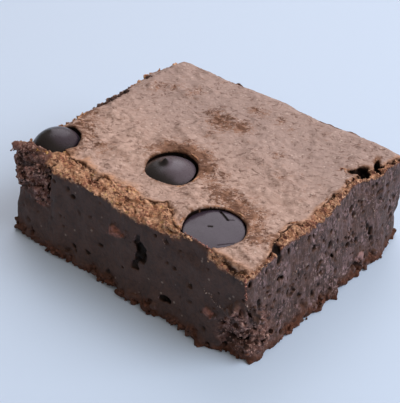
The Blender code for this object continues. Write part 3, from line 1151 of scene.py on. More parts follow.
@dataclass(frozen=True)
class LooseFinish(Finish):
    """Loose crumbs, each with its own tint between a dark and a light colour."""

    dark: Colour = (0.060, 0.028, 0.020)
    light: Colour = (0.240, 0.110, 0.060)

    def make(self) -> bpy.types.Material:
        """Build the material."""
        material, bench, shader = self.start()
        place = bench.place()
        grain = bench.use(GRAIN, Vector=place, Size=0.3 * MM)
        tint = bench.math("MULTIPLY_ADD", grain.outputs["Mask"], 0.35, bench.mark(Mark.TINT))
        bench.feed(shader.inputs["Base Color"], bench.mix(bench.ease(tint, 0.15, 1.1), self.dark, self.light))
        bench.feed(shader.inputs["Roughness"], bench.math("MULTIPLY_ADD", grain.outputs["Mask"], 0.1, 0.78))
        bump = bench.add("ShaderNodeBump")
        bump.inputs["Strength"].default_value = 0.6
        bump.inputs["Distance"].default_value = 0.08 * MM
        bench.feed(bump.inputs["Height"], grain.outputs["Height"])
        bench.feed(shader.inputs["Normal"], bump.outputs[0])
        return material


# --- chocolate chips ---------------------------------------------------------------------------
@dataclass(frozen=True)
class Groove:
    """A fine line in a chip's face, from one point to another in the chip's own plane."""

    start: tuple[float, float]
    end: tuple[float, float]
    width: float = 0.15
    depth: float = 0.30

    def cut(self, x: Array, y: Array) -> Array:
        """How deep the groove is at each place.

        Args:
            x: places across the chip.
            y: places along the chip.
        Returns:
            Depths in millimetres.
        """
        (ax, ay), (bx, by) = self.start, self.end
        length = (bx - ax) ** 2 + (by - ay) ** 2
        t = np.clip(((x - ax) * (bx - ax) + (y - ay) * (by - ay)) / length, 0.0, 1.0)
        away = np.hypot(x - ax - t * (bx - ax), y - ay - t * (by - ay))
        return self.depth * np.exp(-((away / self.width) ** 2))


@dataclass(frozen=True)
class ChocolateChip:
    """One chip baked into the block: a turned form with a sunk foot and a domed or flat face."""

    name: str
    seat: Point
    lean_degrees: tuple[float, float]
    radius: float
    dome: float
    nub: float
    depth: float
    finish: ChocolateFinish
    gap: float = 0.4
    gap_bearing: float = 70.0
    lip: float = 0.0
    lip_bearing: float = -95.0
    dome_power: float = 0.5
    nub_shift: tuple[float, float] = (0.0, 0.0)
    knife_line: float = -99.0
    grooves: tuple[Groove, ...] = ()
    segments: int = 160
    face_rows: int = 56
    foot_ratio: float = 0.74
    waist_ratio: float = 0.93
    nub_ratio: float = 0.16

    @property
    def turn(self) -> Matrix:
        """The chip's lean as a matrix."""
        about_x, about_y = (math.radians(angle) for angle in self.lean_degrees)
        return Euler((about_x, about_y, 0.0)).to_matrix()

    def face_height(self, x: Array, y: Array) -> Array:
        """Height of the domed face above the widest ring, at places in the chip's own plane."""
        share = np.clip(1.0 - (x**2 + y**2) / self.radius**2, 0.0, 1.0) ** self.dome_power
        shift_x, shift_y = self.nub_shift
        return self.dome * share + self.nub * hump(x, y, shift_x, shift_y, self.nub_ratio * self.radius)

    def surface(self, x: Array, y: Array) -> Array:
        """Height of the chip's face in the block, at places in plan.

        Args:
            x: places along the block.
            y: places across it.
        Returns:
            Heights, below the seat where the chip doesn't reach.
        """
        dx, dy = x - self.seat[0], y - self.seat[1]
        across = np.hypot(dx, dy)
        normal = self.turn.col[2]
        plane = self.seat[2] - (normal[0] * dx + normal[1] * dy) / normal[2]
        return np.where(across < self.radius, plane + self.face_height(dx, dy), -10.0)

    def _facing(self, x: Array, y: Array, bearing: float, low: float, high: float) -> Array:
        """How squarely places lie on one side of the chip.

        Args:
            x: places along the block.
            y: places across it.
            bearing: the side's bearing in degrees.
            low: the cosine where it begins.
            high: the cosine from which it is whole.
        Returns:
            Numbers from 0 to 1.
        """
        toward = np.arctan2(y - self.seat[1], x - self.seat[0])
        return smooth_step(low, high, np.cos(toward - math.radians(bearing)))

    def lapped(self, x: Array, y: Array) -> Array:
        """How much the skin laps over the chip in the direction of each place, 0 to 1."""
        return self._facing(x, y, self.lip_bearing, 0.1, 0.85)

    def opening(self, x: Array, y: Array) -> Array:
        """The radius of the crumb's and the skin's opening in the direction of each place."""
        open_side = self._facing(x, y, self.gap_bearing, -0.6, 0.6)
        return self.radius + self.gap * open_side - self.lip * self.lapped(x, y)

    def profile(self) -> Array:
        """The half section, from the middle of the foot to the middle of the face.

        Returns:
            Rows of (radius, height) in millimetres.
        """
        foot, waist = self.foot_ratio * self.radius, self.waist_ratio * self.radius
        sunk = [(0.0, -self.depth), (0.5 * foot, -self.depth), (foot, -self.depth), (waist, -0.5 * self.depth)]
        rise = np.linspace(0.0, 1.0, self.face_rows)
        across = self.radius * np.cos(0.5 * math.pi * rise)
        return np.array(sunk + [(radius, 0.0) for radius in across])

    def build(self, place: Place) -> bpy.types.Object:
        """Spin the section, raise its face, make it a little uneven, and seat it.

        Args:
            place: where the block stands in the frame.
        Returns:
            The chip.
        """
        section = self.profile()
        angles = 2.0 * math.pi * np.arange(self.segments) / self.segments
        uneven = 1.0 + 0.012 * np.sin(2.0 * angles + self.seat[0]) + 0.007 * np.sin(3.0 * angles + self.seat[1])
        radii, heights = section[1:-1, 0], section[1:-1, 1]
        x = radii[:, None] * (uneven * np.cos(angles))[None, :]
        y = radii[:, None] * (uneven * np.sin(angles))[None, :]
        z = np.repeat(heights[:, None], self.segments, axis=1)
        ripple = LatticeNoise(int(100 + self.radius * 10), (1.9, 1.9))
        upper = z > -0.01
        grooved = sum((groove.cut(x, y) for groove in self.grooves), np.zeros_like(x))
        z = z + upper * (self.face_height(x, y) + 0.02 * ripple.at(x, y) - grooved)
        ring = np.stack([x, y, z], axis=-1).reshape(-1, 3)
        crown = float(self.face_height(0.0, 0.0))
        poles = np.array([[0.0, 0.0, section[0, 1]], [0.0, 0.0, crown]])
        points = np.concatenate([ring, poles]) @ np.array(self.turn).T + np.array(self.seat)
        points[:, 1] = np.maximum(points[:, 1], self.knife_line)
        piece = self._finish(place, points, len(radii))
        # painted shade: the grooves are coloured darker
        lines = np.concatenate([(upper * grooved).ravel(), np.zeros(2)])
        store_mark(piece, Mark.HOLLOW_SHADE, smooth_step(0.05, 0.2, lines))
        return piece

    def _finish(self, place: Place, points: Array, rows: int) -> bpy.types.Object:
        """Join the rings of points into the chip's closed mesh.

        Args:
            place: where the block stands in the frame.
            points: the rings from the foot up, then the foot's and the face's middle.
            rows: the number of rings.
        Returns:
            The chip.
        """
        along = np.arange(self.segments)
        after = (along + 1) % self.segments
        faces = []
        for row in range(rows - 1):
            low, high = row * self.segments, (row + 1) * self.segments
            faces += np.stack([low + along, low + after, high + after, high + along], 1).tolist()
        foot, crown = rows * self.segments, rows * self.segments + 1
        top = (rows - 1) * self.segments
        faces += [[foot, b, a] for a, b in zip(along.tolist(), after.tolist())]
        faces += [[crown, top + a, top + b] for a, b in zip(along.tolist(), after.tolist())]
        mesh = bpy.data.meshes.new(self.name)
        mesh.from_pydata(place.metres(points).tolist(), [], faces)
        mesh.shade_smooth()
        piece = bpy.data.objects.new(self.name + "_chocolate", mesh)
        bpy.context.scene.collection.objects.link(piece)
        return piece

    def dress(self, piece: bpy.types.Object) -> None:
        """Give the chip its chocolate."""
        piece.data.materials.append(self.finish.make())


# --- the papery crust -----------------------------------------------------------------------
@dataclass(frozen=True)
class Toast:
    """A darker baked patch of the crust."""

    x: float
    y: float
    radius: float
    strength: float = 1.0


@dataclass
class PaperCrust:
    """The thin papery skin on top: wrinkled, torn at the rims, open round the chips."""

    form: BlockForm
    chips: tuple[ChocolateChip, ...]
    name: str = "paper_crust"
    step: float = 0.23
    thickness: float = 0.42
    wall_margin: float = 0.32
    chip_roll: float = 0.12
    deepest: float = 0.24
    jag: float = 0.34
    front_edge: tuple[tuple[float, float], ...] = (
        (-31.0, -11.5), (-28.6, -12.0), (-24.0, -14.5), (-21.5, -17.2), (-19.0, -18.4), (-16.7, -18.9),
        (-15.2, -17.6), (-13.7, -18.8), (-11.7, -18.8), (-10.2, -20.2), (-8.6, -18.8), (-6.3, -18.8),
        (-2.9, -17.6), (-1.2, -18.2), (0.4, -18.8), (2.6, -18.4), (3.8, -18.2), (4.8, -17.3), (6.1, -18.1),
        (7.1, -18.5), (9.0, -19.4), (11.0, -20.6), (12.2, -20.9), (13.0, -20.4), (18.0, -20.4), (18.9, -21.2),
        (21.4, -21.5), (24.8, -21.3), (29.0, -21.2))
    right_edge: tuple[tuple[float, float], ...] = (
        (-24.0, 27.3), (-21.0, 27.4), (-18.5, 27.9), (-15.5, 27.0), (-13.0, 25.9), (-11.1, 25.4),
        (-8.0, 24.9), (-5.6, 26.0), (-3.9, 26.4), (0.1, 25.7), (3.0, 26.2), (6.7, 26.2), (10.5, 25.4),
        (14.0, 26.0), (18.0, 27.1), (24.0, 28.2))
    toasts: tuple[Toast, ...] = (
        Toast(-8.9, -5.9, 1.5), Toast(-6.2, -4.3, 2.1, 1.6), Toast(-3.1, -3.2, 2.1, 1.9),
        Toast(0.1, -3.2, 2.1, 1.9), Toast(2.8, -4.9, 2.0, 1.7), Toast(-4.8, -0.6, 1.0, 0.8),
        Toast(-3.4, -3.7, 1.5, 1.6), Toast(0.4, -3.8, 1.4, 1.6), Toast(3.6, -7.0, 1.3, 1.3),
        Toast(6.0, -6.6, 1.6, 0.9), Toast(7.6, -4.4, 1.3, 0.6), Toast(8.4, -8.4, 1.8, 1.1),
        Toast(11.3, -8.8, 2.1, 1.25), Toast(15.0, -9.6, 2.1, 1.45), Toast(18.4, -10.0, 2.0, 1.35),
        Toast(21.0, -12.4, 1.9, 1.1), Toast(23.0, -14.4, 1.9, 1.2), Toast(25.1, -13.0, 1.7, 1.0),
        Toast(-8.0, 10.9, 1.6, 0.9), Toast(-5.5, 9.8, 2.0, 1.3), Toast(-3.4, 9.3, 1.8, 1.2),
        Toast(-0.8, 10.3, 1.9, 1.3), Toast(-3.4, 5.2, 1.3, 0.6), Toast(-2.5, 16.9, 1.2, 0.75),
        Toast(-0.5, 16.9, 1.3, 0.6), Toast(3.8, 17.3, 0.9, 0.7), Toast(6.5, 16.2, 0.9, 0.4),
        Toast(-23.0, 11.4, 1.9, 0.55), Toast(-20.6, 13.3, 1.5, 0.6), Toast(-16.3, 13.9, 1.7, 0.65),
        Toast(15.1, 2.4, 1.3, 0.6), Toast(10.3, 8.0, 1.2, 0.5), Toast(-21.5, -12.2, 1.9, 1.1),
        Toast(-24.4, -8.8, 2.2, 1.1), Toast(-27.0, -6.5, 1.9, 1.3), Toast(-27.3, -4.4, 1.3, 1.0),
        Toast(-16.2, -12.6, 1.8, 0.7), Toast(-19.2, -15.4, 1.7, 0.8))

    def rim_share(self, x: Array, y: Array) -> Array:
        """How near the front and right rims the skin is, 0 to 1."""
        front = 1.0 - smooth_step(0.1, 2.4, y - along_polyline(self.front_edge, x))
        right = 1.0 - smooth_step(0.0, 0.8, along_polyline(self.right_edge, y) - x)
        round_hole = hump(x, y, 26.6, 14.0, 2.4)
        return np.maximum(front * smooth_step(4.0, -8.0, x), 0.7 * np.maximum(np.maximum(right, round_hole), front**3))

    def margin(self, x: Array, y: Array) -> Array:
        """How far inside the skin's torn edge each place lies, negative outside.

        Args:
            x: places along the block, in a shape that broadcasts with y.
            y: places across it.
        Returns:
            Distances in millimetres.
        """
        form = self.form
        flat_x, flat_y = np.broadcast_arrays(x, y)
        coarse = LatticeNoise(11, (1.9, 1.9)).at(flat_x, flat_y)
        fine = LatticeNoise(12, (0.75, 0.75)).at(flat_x, flat_y)
        torn = self.jag * (0.8 * coarse + 0.6 * fine)
        top = form.top(x, y)
        walls = -form.wall_distance(x, y, top - 0.5) - self.wall_margin + 0.35 * torn
        front = flat_y - along_polyline(self.front_edge, flat_x) + torn
        right = along_polyline(self.right_edge, flat_y) - flat_x + 0.8 * torn
        inside = np.minimum(np.minimum(walls, front), right)
        for chip in self.chips:
            away = np.hypot(flat_x - chip.seat[0], flat_y - chip.seat[1])
            inside = np.minimum(inside, away - chip.opening(flat_x, flat_y) + 0.15 * torn)
        for cx, cy, long, short, turn in RIM_HOLES:
            dx, dy = flat_x - cx, flat_y - cy
            u = dx * math.cos(turn) + dy * math.sin(turn)
            v = dy * math.cos(turn) - dx * math.sin(turn)
            size = np.hypot(u / long, v / short)
            inside = np.minimum(inside, (size - 1.0) * short + 0.3 * torn)
        return inside

    def relief(self, x: Array, y: Array) -> Array:
        """The skin's wrinkles above the smooth crust, on a regular grid.

        Args:
            x: the grid's places along the block.
            y: the grid's places across it.
        Returns:
            Heights in millimetres.
        """
        layers = ((21, 4.4, 3.6, 0.13), (22, 2.2, 1.7, 0.11), (23, 1.2, 0.9, 0.085), (24, 0.66, 0.5, 0.055))
        total = np.zeros((len(x), len(y)))
        for seed, long, short, height in layers:
            total += height * LatticeNoise(seed, (long, short)).on_grid(x, y)
        baked = self.toast(x[:, None], y[None, :])
        lumps = LatticeNoise(25, (1.5, 1.3)).on_grid(x, y)
        calmer = smooth_step(4.0, 20.0, y[None, :] + 0.35 * x[:, None])
        total = total * (1.35 - 0.7 * calmer) + 0.18 * np.clip(baked, 0.0, 1.0) * lumps
        return np.where(total < 0.0, self.deepest * np.tanh(total / self.deepest), total)

    def toast(self, x: Array, y: Array) -> Array:
        """How baked the crust is at each place."""
        total = 0.0
        for spot in self.toasts:
            total = np.maximum(total, spot.strength * hump(x, y, spot.x, spot.y, 1.25 * spot.radius))
        return total

    def build(self, place: Place) -> bpy.types.Object:
        """Make the skin as a closed, wrinkled sheet.

        Args:
            place: where the block stands in the frame.
        Returns:
            The skin.
        """
        form = self.form
        x = np.arange(-form.half_length - 1.0, form.half_length + 1.0, self.step)
        y = np.arange(-form.half_width - 1.0, form.half_width + 1.0, self.step)
        margin = self.margin(x[:, None], y[None, :])
        slope = np.gradient(margin, self.step)
        steep = np.maximum(slope[0] ** 2 + slope[1] ** 2, 0.25)
        near = np.abs(margin) < 0.62 * self.step * np.sqrt(steep)
        plan_x = x[:, None] - np.where(near, margin * slope[0] / steep, 0.0)
        plan_y = y[None, :] - np.where(near, margin * slope[1] / steep, 0.0)
        kept = np.where(near, 0.0, margin)

        depth = np.clip(margin, 0.0, None)
        curl = LatticeNoise(26, (3.1, 3.1)).on_grid(x, y)
        lift = 0.34 * np.clip(0.35 + 0.5 * curl, 0.0, 1.0) * np.exp(-depth / 0.8)
        base = form.top(plan_x, plan_y)
        fade = smooth_step(-0.2, 0.8, depth)
        upper = base + self.relief(x, y) * (0.45 + 0.55 * fade) + lift
        upper -= 0.16 * np.exp(-depth / 0.16)
        for chip in self.chips:
            upper = self._meet_chip(chip, plan_x, plan_y, upper)
        lower = np.minimum(base, upper) - self.thickness + 0.6 * lift

        corners = [kept[:-1, :-1], kept[1:, :-1], kept[1:, 1:], kept[:-1, 1:]]
        whole = (np.minimum.reduce(corners) >= 0.0) & (np.maximum.reduce(corners) > 0.0)
        number = np.arange(kept.size).reshape(kept.shape)
        quads = np.stack([number[:-1, :-1][whole], number[1:, :-1][whole],
                          number[1:, 1:][whole], number[:-1, 1:][whole]], axis=1)
        quads = quads[largest_shell(kept.size, quads)]
        return self._close(place, (plan_x, plan_y, upper, lower), quads)

    def _meet_chip(self, chip: ChocolateChip, x: Array, y: Array, upper: Array) -> Array:
        """Roll the skin down behind a chip, and swell it where it laps over the chip's face.

        Args:
            chip: the chip.
            x: places along the block.
            y: places across it.
            upper: the skin's heights there.
        Returns:
            The new heights.
        """
        lapped = chip.lapped(x, y)
        away = np.hypot(x - chip.seat[0], y - chip.seat[1])
        beyond = np.clip(away - chip.radius - chip.gap, 0.0, None)
        upper = upper - self.chip_roll * np.exp(-beyond / 0.9) * (1.0 - lapped)
        reach = np.minimum(chip.opening(x, y), chip.radius - 0.05)
        share = np.clip(reach / np.maximum(away, 0.1), 0.0, 1.0)
        crest = chip.surface(chip.seat[0] + (x - chip.seat[0]) * share, chip.seat[1] + (y - chip.seat[1]) * share)
        swell = np.clip(crest + 0.15 - upper, 0.0, 1.2) * lapped
        upper = upper + swell * np.exp(-(np.clip(away - reach, 0.0, None) / 1.5) ** 2)
        over = chip.surface(x, y)
        return np.where(over > 0.0, np.maximum(upper, over + 0.14), upper)

    def _close(self, place: Place, sheets: tuple[Array, ...], quads: Array) -> bpy.types.Object:
        """Join the skin's two sides along its torn edge.

        Args:
            place: where the block stands in the frame.
            sheets: plan places and the two sides' heights, all on the grid.
            quads: the upper side's faces.
        Returns:
            The closed skin.
        """
        plan_x, plan_y, upper, lower = (np.broadcast_to(sheet, sheets[2].shape).ravel() for sheet in sheets)
        count = len(plan_x)
        points = np.concatenate([np.stack([plan_x, plan_y, upper], 1), np.stack([plan_x, plan_y, lower], 1)])
        starts, ends = quads.ravel(), np.roll(quads, -1, axis=1).ravel()
        key, mirrored = starts * count + ends, ends * count + starts
        open_edge = ~np.isin(key, mirrored)
        a, b = starts[open_edge], ends[open_edge]
        skirt = np.stack([b, a, a + count, b + count], axis=1)
        faces = np.concatenate([quads, quads[:, ::-1] + count, skirt])
        used = np.unique(faces)
        renumber = np.zeros(2 * count, int)
        renumber[used] = np.arange(len(used))
        piece = make_mesh_object(self.name, place.metres(points[used]), renumber[faces])
        thin_out(piece)
        places = place.millimetres(points_of(piece))
        self._store_marks(piece, places)
        return piece

    def _store_marks(self, piece: bpy.types.Object, places: Array) -> None:
        """Store where the skin is toasted and where it nears its edge and the rims."""
        x, y = places[:, 0], places[:, 1]
        margin = self.margin(x, y)
        store_mark(piece, Mark.TOAST, self.toast(x, y))
        store_mark(piece, Mark.EDGE, 1.0 - smooth_step(0.05, 0.7, margin))
        store_mark(piece, Mark.RIM, self.rim_share(x, y))

    def dress(self, piece: bpy.types.Object) -> None:
        """Give the skin its finish."""
        piece.data.materials.append(CrustFinish("papery crust").make())


# --- the crumb ---------------------------------------------------------------------------------
@dataclass(frozen=True)
class Rounded:
    """A hole or a lump in the crumb that is large enough to have a place of its own."""

    centre: Point
    half_sizes: Point
    lean: float = 0.0


@dataclass(frozen=True)
class Crack:
    """An open crack: points along its mouth, its width and how far it goes in."""

    mouth: tuple[Point, ...]
    inward: Point
    width: float
    depth: float


@dataclass(frozen=True)
class Inclusion:
    """A lighter piece set in a cut face, by the face it shows in."""

    centre: Point
    half_sizes: Point
    lean: float = 0.0


# openings through the skin at the right rim: middle, half sizes, and turn in plan
RIM_HOLES = ((25.4, 13.9, 1.5, 1.25, 1.25), (24.3, 12.8, 1.5, 0.75, 0.75), (22.2, 11.6, 0.5, 0.3, 0.85),
             (26.4, 17.2, 1.7, 0.45, -1.1),
             (27.7, -13.2, 1.7, 0.5, -1.1))


@dataclass
class CrumbBody:
    """The block of crumb itself: cut faces with pores, torn ends, and the granular rims."""

    form: BlockForm
    paper: PaperCrust
    chips: tuple[ChocolateChip, ...]
    name: str = "crumb_body"
    step: float = 0.21
    under_paper: float = 0.62
    rim_drop: float = 0.04
    groove_depth: float = 0.7
    foot_height: float = 2.0
    seed: int = 4021
    hollows: tuple[Rounded, ...] = (
        Rounded((4.1, -24.1, 11.7), (1.5, 2.9, 2.3)), Rounded((3.3, -24.1, 14.0), (0.75, 2.0, 1.4), 0.35),
        Rounded((3.1, -24.2, 8.9), (0.65, 1.6, 1.3), 0.2), Rounded((3.6, -24.2, 7.7), (0.35, 1.0, 0.8)),
        Rounded((10.7, -25.1, 4.35), (1.25, 2.3, 0.95)), Rounded((11.0, -25.0, 3.2), (0.35, 1.2, 0.6)),
        Rounded((28.0, -13.3, 17.9), (1.6, 0.75, 1.7)), Rounded((26.4, 17.3, 18.7), (0.9, 2.1, 1.7)),
        Rounded((25.8, 18.5, 18.9), (0.8, 1.0, 1.5)), Rounded((22.2, 11.6, 19.2), (0.5, 0.5, 0.9)),
        Rounded((25.4, 13.9, 18.6), (1.4, 1.6, 2.2)), Rounded((24.3, 12.8, 18.9), (1.2, 1.1, 1.4)), 
        Rounded((28.8, -23.6, 12.5), (0.75, 1.6, 1.6), -0.35), Rounded((29.6, -23.2, 10.8), (0.85, 1.6, 1.5), -0.4),
        Rounded((29.3, -22.4, 6.9), (1.5, 1.6, 0.75)), Rounded((28.2, -23.2, 6.3), (1.3, 1.3, 0.65)),
        Rounded((25.4, -22.8, 4.1), (1.1, 1.3, 0.7)), Rounded((27.2, -22.3, 4.3), (1.0, 1.3, 0.7)),
        Rounded((23.4, -23.2, 6.3), (0.6, 1.0, 0.5)), Rounded((26.6, -22.6, 7.3), (0.9, 1.0, 0.45)),
        Rounded((-20.5, -22.6, 15.8), (0.85, 3.0, 2.2)), Rounded((-21.1, -23.0, 12.9), (0.6, 2.2, 1.9), 0.25), Rounded((-23.6, -23.6, 14.1), (0.7, 0.9, 0.6)),
        Rounded((-26.3, -23.7, 16.6), (0.6, 0.8, 0.8)), Rounded((-25.6, -23.8, 11.6), (0.9, 0.8, 0.5)),
        Rounded((-6.9, -24.3, 14.3), (0.42, 1.0, 0.62)), Rounded((-9.4, -24.3, 12.8), (0.55, 1.0, 0.42)),
        Rounded((-11.6, -24.3, 12.2), (0.5, 1.0, 0.36)), Rounded((-9.0, -24.8, 4.6), (0.8, 1.2, 0.5)),
        Rounded((-3.6, -25.0, 3.6), (0.45, 1.2, 0.8)), Rounded((-12.8, -24.9, 4.2), (1.0, 1.2, 0.5)))
    lumps: tuple[Rounded, ...] = (
        Rounded((26.1, -23.3, 10.3), (1.4, 0.9, 1.8)), Rounded((29.3, -21.9, 10.6), (0.7, 1.0, 1.7), -0.3),
        Rounded((29.3, -19.4, 2.4), (0.8, 1.0, 1.6)), Rounded((28.6, -22.0, 2.6), (0.9, 1.0, 1.3)),
        Rounded((-28.4, -22.9, 19.4), (0.9, 0.8, 0.9)), Rounded((-24.9, -23.5, 15.9), (1.3, 0.8, 0.9)),
        Rounded((-22.9, -23.4, 12.4), (1.2, 0.8, 0.8)), Rounded((-27.4, -23.6, 13.4), (1.0, 0.7, 1.2)),
        Rounded((-22.4, -23.0, 17.0), (0.9, 0.8, 1.2)), Rounded((-28.5, -22.9, 16.6), (0.6, 0.7, 0.7)))
    cracks: tuple[Crack, ...] = (
        Crack(((-19.8, -22.6, 18.2), (-19.9, -22.9, 16.0), (-20.2, -23.2, 13.4), (-21.2, -23.6, 10.0)),
              (0.25, 0.97, 0.0), 0.6, 2.4),
        Crack(((7.9, -23.2, 17.6), (9.4, -23.2, 17.7), (10.1, -23.3, 16.2)), (0.0, 1.0, 0.0), 0.2, 0.9),
        Crack(((28.2, -23.4, 13.2), (29.0, -22.8, 10.6), (29.4, -22.2, 9.0)), (-0.7, 0.7, 0.0), 0.4, 1.5),
        Crack(((26.4, -24.2, 5.0), (28.2, -23.6, 4.2), (29.6, -22.0, 4.6)), (-0.5, 0.85, 0.0), 0.42, 1.3))
    inclusions: tuple[Inclusion, ...] = (
        Inclusion((-2.2, -24.0, 12.7), (3.1, 1.6, 1.05), 0.38), Inclusion((20.7, -24.6, 7.1), (1.35, 1.5, 1.1)),
        Inclusion((29.3, 9.6, 3.9), (1.4, 1.4, 0.8), 0.3), Inclusion((-22.6, -23.6, 8.9), (1.3, 1.6, 0.5)))
    clump_rows: int = 30
    short_face_pores: tuple[tuple[float, float], ...] = (
        (-21.5, 16.6), (-19.4, 9.3), (-16.9, 16.4), (-13.0, 12.6), (-11.5, 11.4), (-10.9, 16.7), (-9.4, 15.0),
        (-8.5, 6.2), (-8.4, 10.3), (-6.6, 11.6), (-5.4, 16.7), (-3.9, 16.2), (-3.9, 13.7), (-3.3, 7.3),
        (-2.3, 9.6), (-0.6, 10.4), (0.7, 11.6), (1.1, 8.8), (1.2, 14.3), (3.2, 16.4), (3.2, 11.0), (5.9, 10.0),
        (6.9, 10.6), (8.2, 14.8), (8.4, 11.7), (8.8, 7.9), (12.0, 6.7), (13.5, 7.5), (15.5, 14.6), (15.3, 11.2),
        (18.9, 10.2), (20.3, 8.1))

    def foot_share(self, x: Array, y: Array, z: Array) -> Array:
        """Where the crumb is ragged along the foot, 0 to 1.

        Args:
            x: places along the block.
            y: places across it.
            z: heights.
        Returns:
            Numbers from 0 to 1.
        """
        foot = self.foot_height + 0.6 * wave(x + 0.6 * y, 11.0, 0.3) + 0.45 * wave(x - y, 5.3, 1.2)
        return 1.0 - smooth_step(foot - 1.2, foot + 0.9, z)

    def torn_share(self, x: Array, y: Array, z: Array) -> Array:
        """Where the crumb tore at the left end and at the foot of the near corner, 0 to 1.

        Args:
            x: places along the block.
            y: places across it.
            z: heights.
        Returns:
            Numbers from 0 to 1.
        """
        end = smooth_step(-19.2, -20.6, x) * smooth_step(-14.0, -18.0, y) * smooth_step(7.8, 10.6, z)
        level = z - 4.4 * np.exp(-(((x - 26.7) / 2.0) ** 2))
        corner = smooth_step(21.6, 24.4, x) * smooth_step(-15.5, -19.5, y) * (1.0 - smooth_step(5.8, 8.2, level))
        return np.maximum(end, corner * smooth_step(0.6, 3.0, z))

    def groove(self, x: Array, y: Array, margin: Array) -> Array:
        """The broken crack between the skin's torn edge and the rim, 0 to 1."""
        broken = LatticeNoise(43, (3.4, 3.4)).at(x, y) + 0.45 * (x > 22.0)
        return smooth_step(-0.2, 0.35, broken) * np.exp(-(((margin + 0.12) / 0.2) ** 2))

    def sample_walls(self, rng: np.random.Generator, tries: int, low: float, high: float) -> Array:
        """Random places on the four walls.

        Args:
            rng: where the random numbers come from.
            tries: how many places in the box are tried.
            low: the lowest height.
            high: the highest height.
        Returns:
            Rows of places, each within a quarter of a millimetre of a wall.
        """
        form = self.form
        reach = np.array([form.half_length + 2.0, form.half_width + 2.0])
        plan = rng.uniform(-reach, reach, (tries, 2))
        height = rng.uniform(low, high, tries)
        away = form.wall_distance(plan[:, 0], plan[:, 1], height)
        return np.column_stack([plan, height])[np.abs(away) < 0.25]

    def sample_rims(self, rng: np.random.Generator, tries: int) -> Array:
        """Random places on top of the block, outside the papery skin."""
        form = self.form
        reach = np.array([form.half_length + 2.0, form.half_width + 2.0])
        plan = rng.uniform(-reach, reach, (tries, 2))
        x, y = plan.T
        top = form.top(x, y)
        bare = (self.paper.margin(x, y) < 0.1) & (form.wall_distance(x, y, top - 0.3) < 0.15) & (y < 21.5)
        for chip in self.chips:
            bare &= np.hypot(x - chip.seat[0], y - chip.seat[1]) > chip.opening(x, y) + 0.1
        return np.column_stack([plan, top])[bare]

    def build(self, place: Place) -> bpy.types.Object:
        """Work the block out cell by cell and mesh its surface.

        Args:
            place: where the block stands in the frame.
        Returns:
            The block of crumb.
        """
        form = self.form
        block = VoxelBlock((-31.2, -26.2, -0.72), (31.2, 26.2, 21.6), self.step)
        x, y, z = block.open_axes()
        noises = [LatticeNoise(seed, (cell,) * 3).on_grid(*block.axes)
                  for seed, cell in ((31, 2.3), (32, 1.1), (33, 0.58))]
        coarse_lumps, fine_lumps = np.abs(noises[1]), np.abs(noises[2])
        drag = LatticeNoise(34, (3.0, 0.7, 3.2)).on_grid(*block.axes)
        foot, torn = self.foot_share(x, y, z), self.torn_share(x, y, z)
        wall = form.wall_distance(x, y, z).astype(np.float32)
        wall += 0.06 * noises[0] + 0.045 * noises[1] + 0.03 * noises[2]
        wall += foot * (0.52 - 0.38 * coarse_lumps - 0.26 * fine_lumps)
        wall += torn * (1.0 - foot) * (0.30 - 0.22 * coarse_lumps - 0.26 * fine_lumps + 0.12 * noises[0])
        wall += 0.06 * drag * (x > 20.0)
        plan = block.axes[0][:, None], block.axes[1][None, :]
        margin = self.paper.margin(*plan)
        cut = self.groove_depth * self.groove(*np.broadcast_arrays(*plan), margin)
        bare = (1.0 - smooth_step(0.2, 1.1, margin))[:, :, None]
        drop = self.under_paper + (self.rim_drop - self.under_paper) * bare
        grainy = bare * (0.10 - 0.09 * coarse_lumps - 0.10 * fine_lumps)
        top = z - form.top(x, y) + drop + grainy + cut[:, :, None]
        block.values = soft_max(wall, top, 0.4).astype(np.float32)
        self._work_surfaces(block, noises)
        floor = -z + 0.06 * np.clip(noises[1], -1.0, 2.0) + 0.02
        block.values = np.maximum(block.values, np.maximum(floor, -z + 0.005)).astype(np.float32)
        points, faces = block.skin()
        faces = faces[largest_shell(len(points), faces)]
        used = np.unique(faces)
        renumber = np.zeros(len(points), int)
        renumber[used] = np.arange(len(used))
        piece = make_mesh_object(self.name, place.metres(points[used]), renumber[faces])
        thin_out(piece)
        self._store_marks(piece, place.millimetres(points_of(piece)))
        return piece

    def _work_surfaces(self, block: VoxelBlock, noises: Sequence[Array]) -> None:
        """Add lumps, clumps, pores, pockets, hollows and cracks, in that order."""
        rng = np.random.default_rng(self.seed)
        uneven = 0.16 * noises[2]
        for lump in self.lumps:
            block.blob(lump.centre, lump.half_sizes, Matrix.Rotation(lump.lean, 3, "Y"), 0.3, 2.0 * uneven)
        self._add_lumps(block, rng, uneven)
        self._add_clumps(block, rng, 0.22 * np.abs(noises[2]) + 0.15 * noises[1])
        self._add_rim_grains(block, rng, uneven)
        self._sink_chips(block)
        self._add_pores(block, rng, 0.08 * noises[2])
        for hollow in self.hollows:
            turn = Matrix.Rotation(hollow.lean, 3, "Y")
            block.blob(hollow.centre, hollow.half_sizes, turn, 0.25, 1.6 * uneven, carve=True)
        for crack in self.cracks:
            self._open_crack(block, crack, uneven)
        for inclusion in self.inclusions:
            self._roughen_inclusion(block, rng, inclusion, uneven)

    def _roughen_inclusion(self, block: VoxelBlock, rng: np.random.Generator, inclusion: Inclusion,
                           uneven: Array) -> None:
        """Let an inclusion's own grains stand a little proud of the face it shows in."""
        level = Matrix.Identity(3)
        turn = np.array(Matrix.Rotation(-inclusion.lean, 3, "Y"))
        for _ in range(40):
            offset = turn @ (rng.normal(0.0, 0.42, 3) * np.array(inclusion.half_sizes))
            size = rng.uniform(0.22, 0.4)
            spot = self.form.on_wall(np.array(inclusion.centre) + offset, 0.05)
            block.blob(spot, (size, size, size), level, 0.15, uneven)

